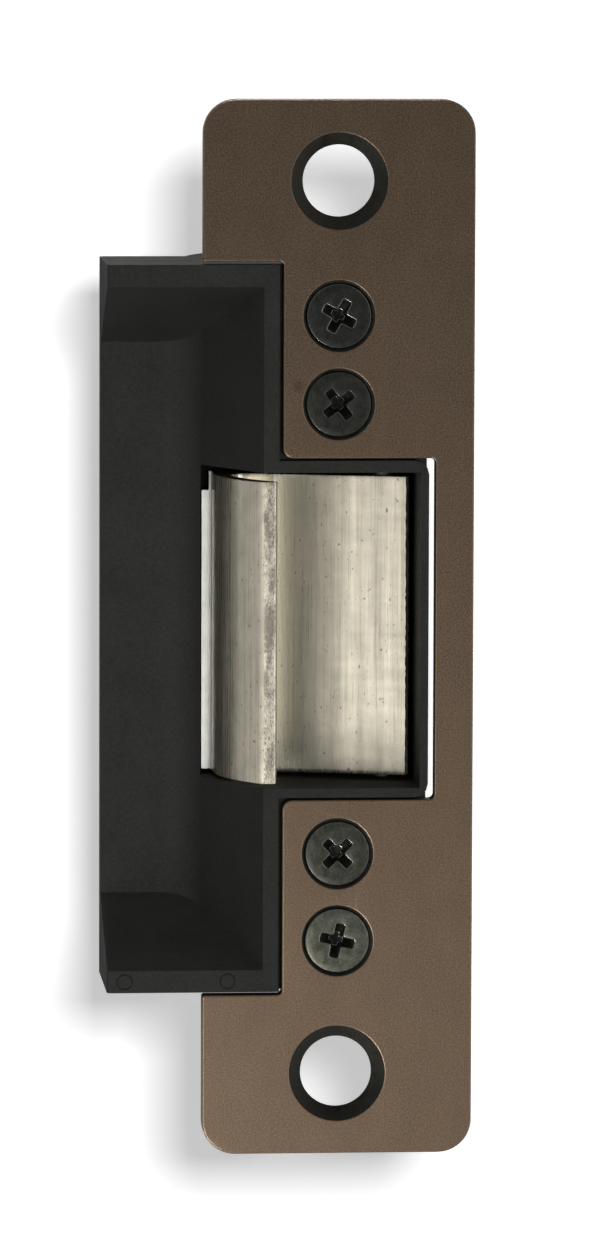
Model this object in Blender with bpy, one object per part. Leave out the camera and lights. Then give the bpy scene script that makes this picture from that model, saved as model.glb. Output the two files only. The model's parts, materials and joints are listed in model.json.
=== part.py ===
"""Electric door strike: bronze faceplate, die-cast case with a lip cavity, swinging keeper and its lock.

The design is drawn from the middle of the faceplate's front face: +X to the right, +Y into the jamb, +Z up.
The object's own origin is the middle of the flat back cover, straight behind that point, so every piece is
parented to the empty "faceplate_datum", which stands at the faceplate's front face.
"""

import math

import bmesh
import bpy
from mathutils import Matrix, Vector

MM = 0.001
GAP = 0.3 * MM  # between neighbouring pieces
PAST = 1 * MM  # how far a cutter runs past the face that it opens
ROOT = 0.5 * MM  # how far a joined shape reaches into the piece it grows from
SKIN = 0.02 * MM  # keeps a joined shape's face off the piece's own

# Faceplate: 4-7/8 x 1-1/4 inch, 3/32 thick
PLATE_WIDTH = 31.75 * MM
PLATE_HEIGHT = 123.8 * MM
PLATE_THICKNESS = 2.4 * MM
PLATE_CORNER = 3.9 * MM
NOTCH_EDGE_X = -6.5 * MM
NOTCH_HALF_HEIGHT = 43.05 * MM
OPENING_RIGHT_X = 11.36 * MM
OPENING_HALF_HEIGHT = 20.05 * MM
MOUNT_HOLE_Z = 52.4 * MM  # 4-1/8 inch between the mounting holes
MOUNT_HOLE_RADIUS = 4.2 * MM
MOUNT_SINK_RADIUS = 5.65 * MM
SINK_HALF_ANGLE = math.radians(41)

# Faceplate screws
SCREW_HEIGHTS = (36.7 * MM, 26.4 * MM, -26.4 * MM, -36.7 * MM)
SCREW_TURNS = (61, 38, 45, 77)  # degrees that each cross recess was left at
SCREW_HEAD_RADIUS = 3.75 * MM
SCREW_SHANK_RADIUS = 2.05 * MM
SCREW_LENGTH = 9.0 * MM
SCREW_SINK_RADIUS = 4.2 * MM

# Case
CASE_LEFT_X = -27.05 * MM
CASE_STEP_X = NOTCH_EDGE_X - GAP
CASE_RIGHT_X = 10.6 * MM
CASE_HALF_HEIGHT = 42.7 * MM
CASE_FRONT_Y = PLATE_THICKNESS + GAP
CASE_BACK_Y = 32.4 * MM
FRAME_HALF_HEIGHT = 19.78 * MM
LIP_DEPTH = 18.5 * MM
FLOOR_DEPTH = 15.0 * MM
RIM_HALF_HEIGHT = 40.1 * MM
FLOOR_HALF_HEIGHT = 32.8 * MM
RAMP_TOP_X = -8.75 * MM
RAMP_ANGLE = math.radians(62)
RAMP_BLEND_RADIUS = 5.6 * MM
END_WALL = 1.6 * MM
BAY_FRONT_Y = 10.2 * MM
BAY_RIGHT_X = 8.95 * MM
BAY_LEFT_X = -11.2 * MM
BAY_INNER_Z = 21.0 * MM  # the two bays, above and below the keeper
BAY_OUTER_Z = CASE_HALF_HEIGHT - END_WALL
LUG_PASSAGE = (2.0 * MM, 14.4 * MM)  # x and y of the corner of the passage through the lower web
LUG_PASSAGE_Z = (-22.0 * MM, -18.0 * MM)
WINDOW_Z = (-18.7 * MM, 18.4 * MM)
WINDOW_RIGHT_X = 9.65 * MM
WINDOW_LEFT_X = -15.36 * MM

# Keeper: bent sheet that turns about the pivot
PIVOT = (6.6 * MM, 13.4 * MM)  # x, y
SHEET = 1.7 * MM
LIP_RADIUS = 20.5 * MM
KEEPER_Z = (-18.15 * MM, 17.35 * MM)
POCKET_RIGHT = (8.55 * MM, 7.6 * MM)
POCKET_SLOPE = math.atan2(5.8, 18.05)
FOOT_LEFT_X = -15.0 * MM
FOOT_TOP_Y = 15.6 * MM
FOOT_TOP_Z = 15.1 * MM
EAR = 1.6 * MM
EAR_RADIUS = 2.75 * MM
LUG_HEIGHT = 2.4 * MM
LUG = ((-17.2 * MM, 1.8 * MM), (-14.2 * MM, 4.6 * MM))  # corners, from the pivot
PIN_RADIUS = 1.5 * MM
SWEEP_RADIUS = 22.4 * MM  # the case's curved back wall, inside
SWEEP_FRONT_Y = 17.8 * MM
KEEPER_PIN_Z = (-19.95 * MM, 23.4 * MM)
CLIP_Z = 21.7 * MM
CLIP_GROOVE = 0.8 * MM

# Lever and solenoid
LEVER_PIVOT = (-2.3 * MM, 19.6 * MM, -25.0 * MM)
LEVER_THICKNESS = 2.4 * MM
LEVER_SWING = math.radians(35)
LEVER_HUB = 2.5 * MM
LEVER_PIN_RADIUS = 1.0 * MM
LEVER_PIN_FRONT_Y = 11.8 * MM
LINK_ARM = 4.6 * MM
LINK_PIN_RADIUS = 0.7 * MM
PLUNGER_RADIUS = 2.4 * MM
SPRING_POCKET = 1.6 * MM
SPRING_POCKET_DEPTH = 3.0 * MM
FRAME_SHEET = 1.2 * MM
SOLENOID_Z = (-40.8 * MM, -29.0 * MM)
PLUNGER_STROKE = 2 * LINK_ARM * math.sin(LEVER_SWING / 2)
LINK_HEIGHT = LEVER_PIVOT[2] + PLUNGER_STROKE / 2
SOLENOID_X = LEVER_PIVOT[0] + LINK_ARM * math.cos(LEVER_SWING / 2)
SOLENOID_Y = LEVER_PIVOT[1]
SOLENOID_SCREW_Z = -31.9 * MM
SOLENOID_SCREW_OFFSET = 4.6 * MM
SOLENOID_SCREW_RADIUS = 1.15 * MM
SOLENOID_HEAD_RADIUS = 2.2 * MM
SOLENOID_HEAD_Y = (3.0 * MM, 4.8 * MM)
SOLENOID_PLATE_Y = 12.6 * MM
CORE_HEIGHT = 2.3 * MM
CORE_SEAT = 1.2 * MM  # depth of the spring's seat in the core
CORE_TAIL_RADIUS = 1.7 * MM

# Back cover
COVER_THICKNESS = 1.3 * MM
DEPTH = CASE_BACK_Y + GAP + COVER_THICKNESS
COVER_SCREWS = (
    (-2.9 * MM, 38.9 * MM),
    (6.7 * MM, 23.8 * MM),
    (-2.9 * MM, -38.9 * MM),
    (6.7 * MM, -23.8 * MM),
)  # x, z
COVER_SCREW_RADIUS = 1.25 * MM
COVER_HEAD_RADIUS = 2.2 * MM
COVER_SCREW_FRONT_Y = 28.0 * MM
BOSS_FRONT_Y = 26.5 * MM
BOSS_REACH = 2.4 * MM  # from a cover screw's axis to its boss's free sides

# Leads
GROMMET = (5.4 * MM, 28.2 * MM)  # x, y of the lead hole in the bottom wall
GROMMET_NECK = 2.65 * MM
PLUG = (10.0 * MM, 25.5 * MM)  # x, y
PLUG_Z = (-58.5 * MM, -49.5 * MM)
PLUG_HALF = (3.0 * MM, 2.4 * MM)


# ---------------------------------------------------------------- helpers

def clear_scene():
    for old in list(bpy.data.objects):
        bpy.data.objects.remove(old, do_unlink=True)


def material(name, colour, roughness, metallic=0.0):
    made = bpy.data.materials.new(name)
    made.use_nodes = True
    shader = made.node_tree.nodes["Principled BSDF"]
    shader.inputs["Base Color"].default_value = (*colour, 1.0)
    shader.inputs["Roughness"].default_value = roughness
    shader.inputs["Metallic"].default_value = metallic
    made.diffuse_color = (*colour, 1.0)
    return made


def new_object(name, mesh_data, finish, location=(0, 0, 0)):
    """A piece under the datum, with its origin at location; the mesh is drawn from that origin."""
    obj = bpy.data.objects.new(name, mesh_data)
    bpy.context.scene.collection.objects.link(obj)
    obj.parent = datum
    obj.location = location
    if finish:
        mesh_data.materials.append(finish)
    return obj


def finish_mesh(bm, name, smooth_angle=None):
    bmesh.ops.recalc_face_normals(bm, faces=bm.faces)
    made = bpy.data.meshes.new(name)
    bm.to_mesh(made)
    bm.free()
    if smooth_angle:
        made.shade_smooth()
        made.set_sharp_from_angle(angle=math.radians(smooth_angle))
    return made


def along(axis, first, second, height):
    """The point at height along the axis, with its other two coordinates in X, Y, Z order."""
    if axis == "X":
        return Vector((height, first, second))
    if axis == "Y":
        return Vector((first, height, second))
    return Vector((first, second, height))


def prism_mesh(name, outline, low, high, axis="Z"):
    """A closed outline, in the two other coordinates, carried from low to high along the axis."""
    bm = bmesh.new()
    ring = [bm.verts.new(along(axis, a, b, low)) for a, b in outline]
    face = bm.faces.new(ring)
    grown = bmesh.ops.extrude_face_region(bm, geom=[face])
    moved = [item for item in grown["geom"] if isinstance(item, bmesh.types.BMVert)]
    bmesh.ops.translate(bm, vec=along(axis, 0, 0, high - low), verts=moved)
    return finish_mesh(bm, name, smooth_angle=35)


def turned_mesh(name, profile, axis="Z", steps=24):
    """A (radius, height) profile spun about Z or Y; it closes on itself if it starts off the axis."""
    bm = bmesh.new()
    points = [bm.verts.new((radius, 0, height)) for radius, height in profile]
    edges = [bm.edges.new(pair) for pair in zip(points, points[1:])]
    if profile[0][0] > 0:
        edges.append(bm.edges.new((points[-1], points[0])))
    bmesh.ops.spin(bm, geom=points + edges, cent=(0, 0, 0), axis=(0, 0, 1), angle=math.tau, steps=steps)
    bmesh.ops.remove_doubles(bm, verts=bm.verts, dist=1e-6)
    if axis == "Y":
        bmesh.ops.rotate(bm, verts=bm.verts, matrix=Matrix.Rotation(-math.pi / 2, 3, "X"))
    return finish_mesh(bm, name, smooth_angle=35)


def rod_profile(radius, low, high, edge=0.0):
    """Half of a plain rod's section, with an optional chamfer of size edge at both ends."""
    if not edge:
        return [(0, low), (radius, low), (radius, high), (0, high)]
    lower = [(0, low), (radius - edge, low), (radius, low + edge)]
    return lower + [(radius, high - edge), (radius - edge, high), (0, high)]


def box_outline(low, high):
    return [(low[0], low[1]), (high[0], low[1]), (high[0], high[1]), (low[0], high[1])]


def arc(centre, radius, start, end, steps):
    """Points on a circle, from the start to the end angle in degrees."""
    angles = [math.radians(start + (end - start) * i / steps) for i in range(steps + 1)]
    return [(centre[0] + radius * math.cos(a), centre[1] + radius * math.sin(a)) for a in angles]


def rounded(points, radii, steps=5):
    """The outline with corner i replaced by an arc of radii[i]."""
    result = []
    count = len(points)
    for i, radius in enumerate(radii):
        corner = Vector(points[i])
        if not radius:
            result.append(tuple(corner))
            continue
        before = (Vector(points[i - 1]) - corner).normalized()
        after = (Vector(points[(i + 1) % count]) - corner).normalized()
        half = before.angle(after) / 2
        centre = corner + (before + after).normalized() * radius / math.sin(half)
        first = corner + before * radius / math.tan(half) - centre
        last = corner + after * radius / math.tan(half) - centre
        turn = first.angle_signed(last)
        for step in range(steps + 1):
            spoke = first.copy()
            spoke.rotate(Matrix.Rotation(-turn * step / steps, 2))
            result.append(tuple(centre + spoke))
    return result


def hull_of(points):
    """The convex outline round a set of points, anticlockwise."""
    ordered = sorted(set(points))

    def half(sequence):
        chain = []
        for p in sequence:
            while len(chain) > 1:
                (ax, ay), (bx, by) = chain[-2], chain[-1]
                if (bx - ax) * (p[1] - ay) - (by - ay) * (p[0] - ax) > 1e-12:
                    break
                chain.pop()
            chain.append(p)
        return chain[:-1]

    return half(ordered) + half(reversed(ordered))


def tube_mesh(name, path, radius, sides=8):
    """A round wire along a path of points, with flat ends."""
    bm = bmesh.new()
    path = [Vector(p) for p in path]
    rings = []
    side = None
    for i, point in enumerate(path):
        ahead = (path[min(i + 1, len(path) - 1)] - path[max(i - 1, 0)]).normalized()
        if side is None:
            side = ahead.orthogonal().normalized()
        side = (side - ahead * side.dot(ahead)).normalized()
        other = ahead.cross(side)
        ring = []
        for k in range(sides):
            turn = math.tau * k / sides
            ring.append(bm.verts.new(point + (side * math.cos(turn) + other * math.sin(turn)) * radius))
        rings.append(ring)
    for first, second in zip(rings, rings[1:]):
        for k in range(sides):
            bm.faces.new((first[k], first[(k + 1) % sides], second[(k + 1) % sides], second[k]))
    bm.faces.new(rings[0])
    bm.faces.new(rings[-1])
    return finish_mesh(bm, name, smooth_angle=50)


def smooth_path(points, steps=6):
    """A curve through the points, as Catmull-Rom pieces."""
    points = [Vector(p) for p in points]
    full = [2 * points[0] - points[1]] + points + [2 * points[-1] - points[-2]]
    result = []
    for a, b, c, d in zip(full, full[1:], full[2:], full[3:]):
        for step in range(steps):
            t = step / steps
            result.append(0.5 * (2 * b + (c - a) * t + (2 * a - 5 * b + 4 * c - d) * t**2
                                 + (3 * b - a - 3 * c + d) * t**3))
    return result + [points[-1]]


def combine(obj, mesh_data, operation, location=(0, 0, 0), turn=0.0):
    """Cuts a hidden helper out of obj, or joins it on. The helper's place is in obj's own coordinates."""
    helper = bpy.data.objects.new(f"{obj.name}_{operation.lower()}_{len(obj.modifiers)}", mesh_data)
    bpy.context.scene.collection.objects.link(helper)
    helper.parent = obj
    helper.location = location
    helper.rotation_euler = (0, turn, 0)
    helper.hide_render = True
    helper.display_type = "WIRE"
    modifier = obj.modifiers.new(helper.name, "BOOLEAN")
    modifier.operation = operation
    modifier.object = helper
    return helper


def cut(obj, mesh_data, location=(0, 0, 0), turn=0.0):
    return combine(obj, mesh_data, "DIFFERENCE", location, turn)


def join(obj, mesh_data, location=(0, 0, 0), turn=0.0):
    return combine(obj, mesh_data, "UNION", location, turn)


# ---------------------------------------------------------------- faceplate and its screws

def faceplate():
    half_w = PLATE_WIDTH / 2
    half_h = PLATE_HEIGHT / 2
    outline = [
        (half_w, half_h), (-half_w, half_h),
        (-half_w, NOTCH_HALF_HEIGHT), (NOTCH_EDGE_X, NOTCH_HALF_HEIGHT),
        (NOTCH_EDGE_X, OPENING_HALF_HEIGHT), (OPENING_RIGHT_X, OPENING_HALF_HEIGHT),
        (OPENING_RIGHT_X, -OPENING_HALF_HEIGHT), (NOTCH_EDGE_X, -OPENING_HALF_HEIGHT),
        (NOTCH_EDGE_X, -NOTCH_HALF_HEIGHT), (-half_w, -NOTCH_HALF_HEIGHT),
        (-half_w, -half_h), (half_w, -half_h),
    ]
    notch, opening, tongue = 0.5 * MM, 0.6 * MM, 1.2 * MM
    radii = [PLATE_CORNER, PLATE_CORNER, 0, notch, tongue, opening,
             opening, tongue, notch, 0, PLATE_CORNER, PLATE_CORNER]
    sheet = prism_mesh("faceplate", rounded(outline, radii), 0, PLATE_THICKNESS, "Y")
    plate = new_object("faceplate", sheet, bronze)
    for height in (MOUNT_HOLE_Z, -MOUNT_HOLE_Z):
        cut(plate, sink_mesh(MOUNT_SINK_RADIUS, MOUNT_HOLE_RADIUS, 32), (0, 0, height))
    for height in SCREW_HEIGHTS:
        cut(plate, sink_mesh(SCREW_SINK_RADIUS, SCREW_SHANK_RADIUS + GAP, 24), (0, 0, height))


def sink_mesh(outer, inner, steps):
    """A countersink that narrows from outer at the front face to inner, and the hole behind it."""
    flare = PAST * math.tan(SINK_HALF_ANGLE)
    throat = (outer - inner) / math.tan(SINK_HALF_ANGLE)
    behind = PLATE_THICKNESS + PAST
    profile = [(0, -PAST), (outer + flare, -PAST), (inner, throat), (inner, behind), (0, behind)]
    return turned_mesh("countersink", profile, "Y", steps)


def faceplate_screws():
    """Flat-headed machine screws with cross recesses; each head's top lies just below the plate's face."""
    land = 0.3 * MM
    top = 0.1 * MM
    neck = top + land + (SCREW_HEAD_RADIUS - SCREW_SHANK_RADIUS) / math.tan(SINK_HALF_ANGLE)
    profile = [(0, top), (SCREW_HEAD_RADIUS, top), (SCREW_HEAD_RADIUS, top + land),
               (SCREW_SHANK_RADIUS, neck), (SCREW_SHANK_RADIUS, SCREW_LENGTH), (0, SCREW_LENGTH)]
    for number, (height, degrees) in enumerate(zip(SCREW_HEIGHTS, SCREW_TURNS), 1):
        shape = turned_mesh("faceplate_screw", profile, "Y")
        screw = new_object(f"faceplate_screw_{number}", shape, black_zinc, (0, 0, height))
        recess = cross_recess_mesh(1.9 * MM, 0.45 * MM, 1.5 * MM)
        cut(screw, recess, turn=-math.radians(degrees))


def cross_recess_mesh(reach, half_width, depth):
    """A four-armed star that narrows as it goes deeper."""
    bm = bmesh.new()
    rings = []
    for height, share in ((-0.5 * MM, 1.15), (depth, 0.45)):
        ring = []
        for quarter in range(4):
            spin = Matrix.Rotation(math.radians(90 * quarter), 2)
            arm = reach * share
            for point in ((arm, -half_width), (arm, half_width), (half_width, half_width)):
                x, z = spin @ Vector(point)
                ring.append(bm.verts.new((x, height, z)))
        rings.append(ring)
    count = len(rings[0])
    for i in range(count):
        bm.faces.new((rings[0][i], rings[0][(i + 1) % count], rings[1][(i + 1) % count], rings[1][i]))
    bm.faces.new(rings[0])
    bm.faces.new(rings[1])
    return finish_mesh(bm, "cross_recess")


# ---------------------------------------------------------------- case

def swept_wall(radius, steps=10):
    """The case's curved back wall, about the keeper's pivot, from behind the lip to the open back."""
    front = math.degrees(math.asin((SWEEP_FRONT_Y - PIVOT[1]) / radius))
    back = math.degrees(math.asin((CASE_BACK_Y - PIVOT[1]) / radius))
    return arc(PIVOT, radius, 180 - front, 180 - back, steps)


def strike_body():
    front = [(CASE_LEFT_X, LIP_DEPTH), (CASE_LEFT_X, 0), (CASE_STEP_X, 0), (CASE_STEP_X, CASE_FRONT_Y),
             (CASE_RIGHT_X, CASE_FRONT_Y), (CASE_RIGHT_X, CASE_BACK_Y)]
    radii = [0.8 * MM, 0.5 * MM, 0.5 * MM, 0, 0.5 * MM, 1.0 * MM]
    wall = [point for point in swept_wall(SWEEP_RADIUS + END_WALL) if point[1] > LIP_DEPTH + GAP]
    outline = rounded(front, radii, 2) + wall[::-1] + [(wall[0][0] - 0.1 * MM, LIP_DEPTH)]
    shell = prism_mesh("strike_body", outline, -CASE_HALF_HEIGHT, CASE_HALF_HEIGHT)
    body = new_object("strike_body", shell, black)
    frame = box_outline((CASE_STEP_X - PAST, -FRAME_HALF_HEIGHT), (CASE_RIGHT_X, FRAME_HALF_HEIGHT))
    frame = rounded(frame, [0, 1.6 * MM, 1.6 * MM, 0], 3)
    join(body, prism_mesh("latch_frame", frame, SKIN, CASE_FRONT_Y + ROOT, "Y"))
    cut(body, lip_cavity_mesh())
    window = [(WINDOW_RIGHT_X, CASE_BACK_Y + PAST), (WINDOW_RIGHT_X, -PAST), (WINDOW_LEFT_X, -PAST)]
    cut(body, prism_mesh("keeper_window", open_to_back(window), *WINDOW_Z))
    bay = [(BAY_RIGHT_X, CASE_BACK_Y + PAST), (BAY_RIGHT_X, BAY_FRONT_Y), (BAY_LEFT_X, BAY_FRONT_Y),
           (BAY_LEFT_X, FLOOR_DEPTH - ROOT)]
    for low, high in ((BAY_INNER_Z, BAY_OUTER_Z), (-BAY_OUTER_Z, -BAY_INNER_Z)):
        cut(body, prism_mesh("bay", open_to_back(bay), low, high))
    right, top = LUG_PASSAGE
    passage = [(right, CASE_BACK_Y + PAST), (right, top), (BAY_LEFT_X, top)]
    cut(body, prism_mesh("lug_passage", open_to_back(passage), *LUG_PASSAGE_Z))
    bosses_and_holes(body)


def open_to_back(points):
    """Closes an outline that starts at the open back: down the curved back wall and out of the back again."""
    wall = swept_wall(SWEEP_RADIUS)
    return points + wall + [(wall[-1][0], CASE_BACK_Y + PAST)]


def lip_cavity_mesh():
    """The open cavity in front of the keeper: flat floor, ramp up to the rim, end walls that lean in."""
    run = FLOOR_DEPTH / math.tan(RAMP_ANGLE)
    foot = (RAMP_TOP_X - run, FLOOR_DEPTH)
    lean = PAST / math.tan(RAMP_ANGLE)
    left = CASE_LEFT_X - PAST
    outline = [(left, -PAST), (left, FLOOR_DEPTH), foot, (RAMP_TOP_X + lean, -PAST)]
    outline = rounded(outline, [0, 0, RAMP_BLEND_RADIUS, 0], 10)
    bm = bmesh.new()
    bm.from_mesh(prism_mesh("lip_cavity", outline, -CASE_HALF_HEIGHT, CASE_HALF_HEIGHT))
    slope = (RIM_HALF_HEIGHT - FLOOR_HALF_HEIGHT) / FLOOR_DEPTH
    for side in (1, -1):
        normal = Vector((0, slope, side)).normalized()
        geometry = bm.verts[:] + bm.edges[:] + bm.faces[:]
        bmesh.ops.bisect_plane(bm, geom=geometry, plane_co=(0, 0, side * RIM_HALF_HEIGHT), plane_no=normal,
                               clear_outer=True)
        bmesh.ops.holes_fill(bm, edges=[edge for edge in bm.edges if edge.is_boundary])
    return finish_mesh(bm, "lip_cavity")


def cover_boss_mesh(x, z):
    """A boss for a cover screw, grown from the bay's right wall or from the curved wall's corner."""
    side = math.copysign(1, z)
    back = CASE_BACK_Y - SKIN
    if x > 0:
        low, high = sorted((side * (BAY_INNER_Z - ROOT), z + side * BOSS_REACH))
        outline = box_outline((x - BOSS_REACH, low), (BAY_RIGHT_X + ROOT, high))
        return prism_mesh("cover_boss", outline, BOSS_FRONT_Y, back, "Y")
    low, high = sorted((z - side * BOSS_REACH, side * (BAY_OUTER_Z + ROOT)))
    radius = SWEEP_RADIUS + END_WALL / 2
    start, end = [180 - math.degrees(math.asin((y - PIVOT[1]) / radius)) for y in (BOSS_FRONT_Y, back)]
    right = x + BOSS_REACH
    outline = [(right, back), (right, BOSS_FRONT_Y)] + arc(PIVOT, radius, start, end, 4)
    return prism_mesh("cover_boss", outline, low, high)


def bosses_and_holes(body):
    lever_x, lever_y, lever_z = LEVER_PIVOT
    outside, inside = -CASE_HALF_HEIGHT - PAST, -CASE_HALF_HEIGHT + END_WALL + PAST
    lead_hole = rod_profile(GROMMET_NECK + 0.25 * MM, outside, inside)
    cut(body, turned_mesh("lead_hole", lead_hole), (*GROMMET, 0))
    boss = rod_profile(2.2 * MM, BAY_FRONT_Y - ROOT, lever_y - LEVER_THICKNESS / 2 - GAP)
    join(body, turned_mesh("lever_boss", boss, "Y"), (lever_x, 0, lever_z))
    for x, z in COVER_SCREWS:
        join(body, cover_boss_mesh(x, z))
    cover_hole = rod_profile(COVER_SCREW_RADIUS + GAP / 2, COVER_SCREW_FRONT_Y - PAST, CASE_BACK_Y + PAST)
    for x, z in COVER_SCREWS:
        cut(body, turned_mesh("cover_screw_hole", cover_hole, "Y", 16), (x, 0, z))
    plate_hole = rod_profile(SCREW_SHANK_RADIUS + GAP, -PAST, SCREW_LENGTH + GAP)
    for height in SCREW_HEIGHTS:
        cut(body, turned_mesh("faceplate_screw_hole", plate_hole, "Y", 16), (0, 0, height))
    seat = SOLENOID_HEAD_Y[1] + GAP
    head, shank = SOLENOID_HEAD_RADIUS + GAP, SOLENOID_SCREW_RADIUS + GAP
    through = BAY_FRONT_Y + PAST
    stepped = [(0, 0), (head, 0), (head, seat), (shank, seat), (shank, through), (0, through)]
    for x in solenoid_screw_places():
        cut(body, turned_mesh("solenoid_screw_hole", stepped, "Y", 16), (x, 0, SOLENOID_SCREW_Z))
    pin_hole = rod_profile(PIN_RADIUS + 0.2 * MM, KEEPER_PIN_Z[0] - GAP, KEEPER_PIN_Z[1] + GAP)
    cut(body, turned_mesh("keeper_pin_hole", pin_hole, steps=20), (*PIVOT, 0))
    lever_hole = rod_profile(LEVER_PIN_RADIUS + 0.2 * MM, LEVER_PIN_FRONT_Y - GAP, lever_y)
    cut(body, turned_mesh("lever_pin_hole", lever_hole, "Y", 16), (lever_x, 0, lever_z))


# ---------------------------------------------------------------- keeper, its pin and its spring

def keeper_section():
    """The keeper's section, drawn from the pivot: lip, pocket floor and foot."""
    px, py = PIVOT
    inner = LIP_RADIUS - SHEET
    tip = -py
    slope = Vector((-math.cos(POCKET_SLOPE), math.sin(POCKET_SLOPE)))
    normal = Vector((-slope.y, slope.x))
    pocket = Vector((POCKET_RIGHT[0] - px, POCKET_RIGHT[1] - py))
    under = pocket - normal * SHEET

    def lip_angle(radius, height):
        return 180 - math.degrees(math.asin(height / radius))

    # The bend's centre lies the bend radius away from the pocket floor and from the lip's inner face
    bend = 2.2 * MM
    offset = pocket + normal * bend
    reach = inner - bend
    run = -offset.dot(slope) + math.sqrt(offset.dot(slope) ** 2 - offset.length_squared + reach**2)
    centre = offset + slope * run
    start = math.degrees(math.atan2(-normal.y, -normal.x))
    end = math.degrees(math.atan2(centre.y, centre.x)) % 360
    start -= 360 if start > end else 0
    points = [tuple(pocket)] + arc(centre, bend, start, end, 4)
    points += arc((0, 0), inner, end, lip_angle(inner, tip) % 360, 10)[1:]

    edge = 0.5 * MM
    outer_tip = lip_angle(LIP_RADIUS, tip + edge)
    foot_top = FOOT_TOP_Y - py
    outer_foot = lip_angle(LIP_RADIUS, foot_top - edge)
    points.append((LIP_RADIUS * math.cos(math.radians(lip_angle(LIP_RADIUS, tip))) + edge, tip))
    points += arc((0, 0), LIP_RADIUS, outer_tip, outer_foot, 12)
    foot_left = FOOT_LEFT_X - px
    points.append((LIP_RADIUS * math.cos(math.radians(outer_foot)) - edge, foot_top))
    points.append((foot_left, foot_top))
    points.append(tuple(under + slope * (foot_left - under.x) / slope.x))
    points.append(tuple(under))
    return points


def keeper():
    low, high = KEEPER_Z
    piece = new_object("keeper", prism_mesh("keeper", keeper_section(), low, high), stainless, (*PIVOT, 0))
    foot_left = FOOT_LEFT_X - PIVOT[0]
    foot_end = box_outline((foot_left - PAST, GAP), (foot_left + 0.85 * MM, 5 * MM))
    cut(piece, prism_mesh("foot_end", foot_end, FOOT_TOP_Z, high + PAST))
    # Each ear spans from the pin's bore to the foot; the lower one also backs the lug
    bore_side = arc((0, 0), EAR_RADIUS, 0, 345, 23)
    foot_side = [(1.0 * MM, -3.9 * MM), (LUG[0][0] + 0.2 * MM, 2.0 * MM)]
    lug_side = [(LUG[0][0] - 0.2 * MM, 4.4 * MM), (LUG[1][0] + 0.2 * MM, 4.9 * MM)]
    lower = hull_of(bore_side + foot_side + lug_side)
    upper = hull_of(bore_side + foot_side)
    join(piece, prism_mesh("lower_ear", lower, low + SKIN, low + EAR))
    join(piece, prism_mesh("upper_ear", upper, high - EAR, high - SKIN))
    join(piece, prism_mesh("lug", box_outline(*LUG), low - LUG_HEIGHT, low + ROOT))
    bore = rod_profile(PIN_RADIUS + 0.1 * MM, low - PAST, high + PAST)
    cut(piece, turned_mesh("pin_bore", bore))


def keeper_pin():
    """The pin, held by a clip in a groove above the upper web."""
    low, top = KEEPER_PIN_Z
    groove = PIN_RADIUS - 0.4 * MM
    edge = 0.3 * MM
    clip_end = CLIP_Z + CLIP_GROOVE
    profile = [(0, low), (PIN_RADIUS - edge, low), (PIN_RADIUS, low + edge), (PIN_RADIUS, CLIP_Z),
               (groove, CLIP_Z), (groove, clip_end), (PIN_RADIUS, clip_end), (PIN_RADIUS, top - edge),
               (PIN_RADIUS - edge, top), (0, top)]
    new_object("keeper_pin", turned_mesh("keeper_pin", profile), steel, (*PIVOT, 0))
    ring = arc((0, 0), 2.8 * MM, 35, 325, 16) + arc((0, 0), groove + 0.2 * MM, 325, 35, 12)
    clip = prism_mesh("keeper_pin_clip", ring, CLIP_Z + 0.15 * MM, clip_end - 0.15 * MM)
    new_object("keeper_pin_clip", clip, spring_steel, (*PIVOT, 0))


def coil_path(radius, low, high, turns, per_turn, way=1):
    """Points up a helix about Z that starts on +X and turns left, or right where way is -1."""
    count = round(turns * per_turn)
    path = []
    for i in range(count + 1):
        turn = way * math.tau * turns * i / count
        path.append((radius * math.cos(turn), radius * math.sin(turn), low + (high - low) * i / count))
    return path


def keeper_spring():
    """Torsion spring round the pin: its lower leg bears on the side wall, its upper one on the keeper."""
    wire, radius = 0.35 * MM, 2.25 * MM
    low, high = -10.15 * MM, 10 * MM
    lower_leg = [(radius + 0.1 * MM, 8 * MM, low), (radius, 1 * MM, low)]
    # The coil ends square to the pocket floor, and the upper leg runs on along the floor's underside
    turns = 8 + (math.pi / 2 + POCKET_SLOPE) / math.tau
    coil = coil_path(radius, low, high, turns, 14, -1)
    along = Vector((-math.cos(POCKET_SLOPE), math.sin(POCKET_SLOPE), 0))
    towards_floor = Vector((-along.y, along.x, 0))
    end = Vector(coil[-1])
    upper_leg = [tuple(end + along * 1 * MM), tuple(end + along * 6.5 * MM + towards_floor * 0.3 * MM)]
    shape = tube_mesh("keeper_spring", lower_leg + coil + upper_leg, wire, 6)
    new_object("keeper_spring", shape, spring_steel, (*PIVOT, 0))


# ---------------------------------------------------------------- lever

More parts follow.
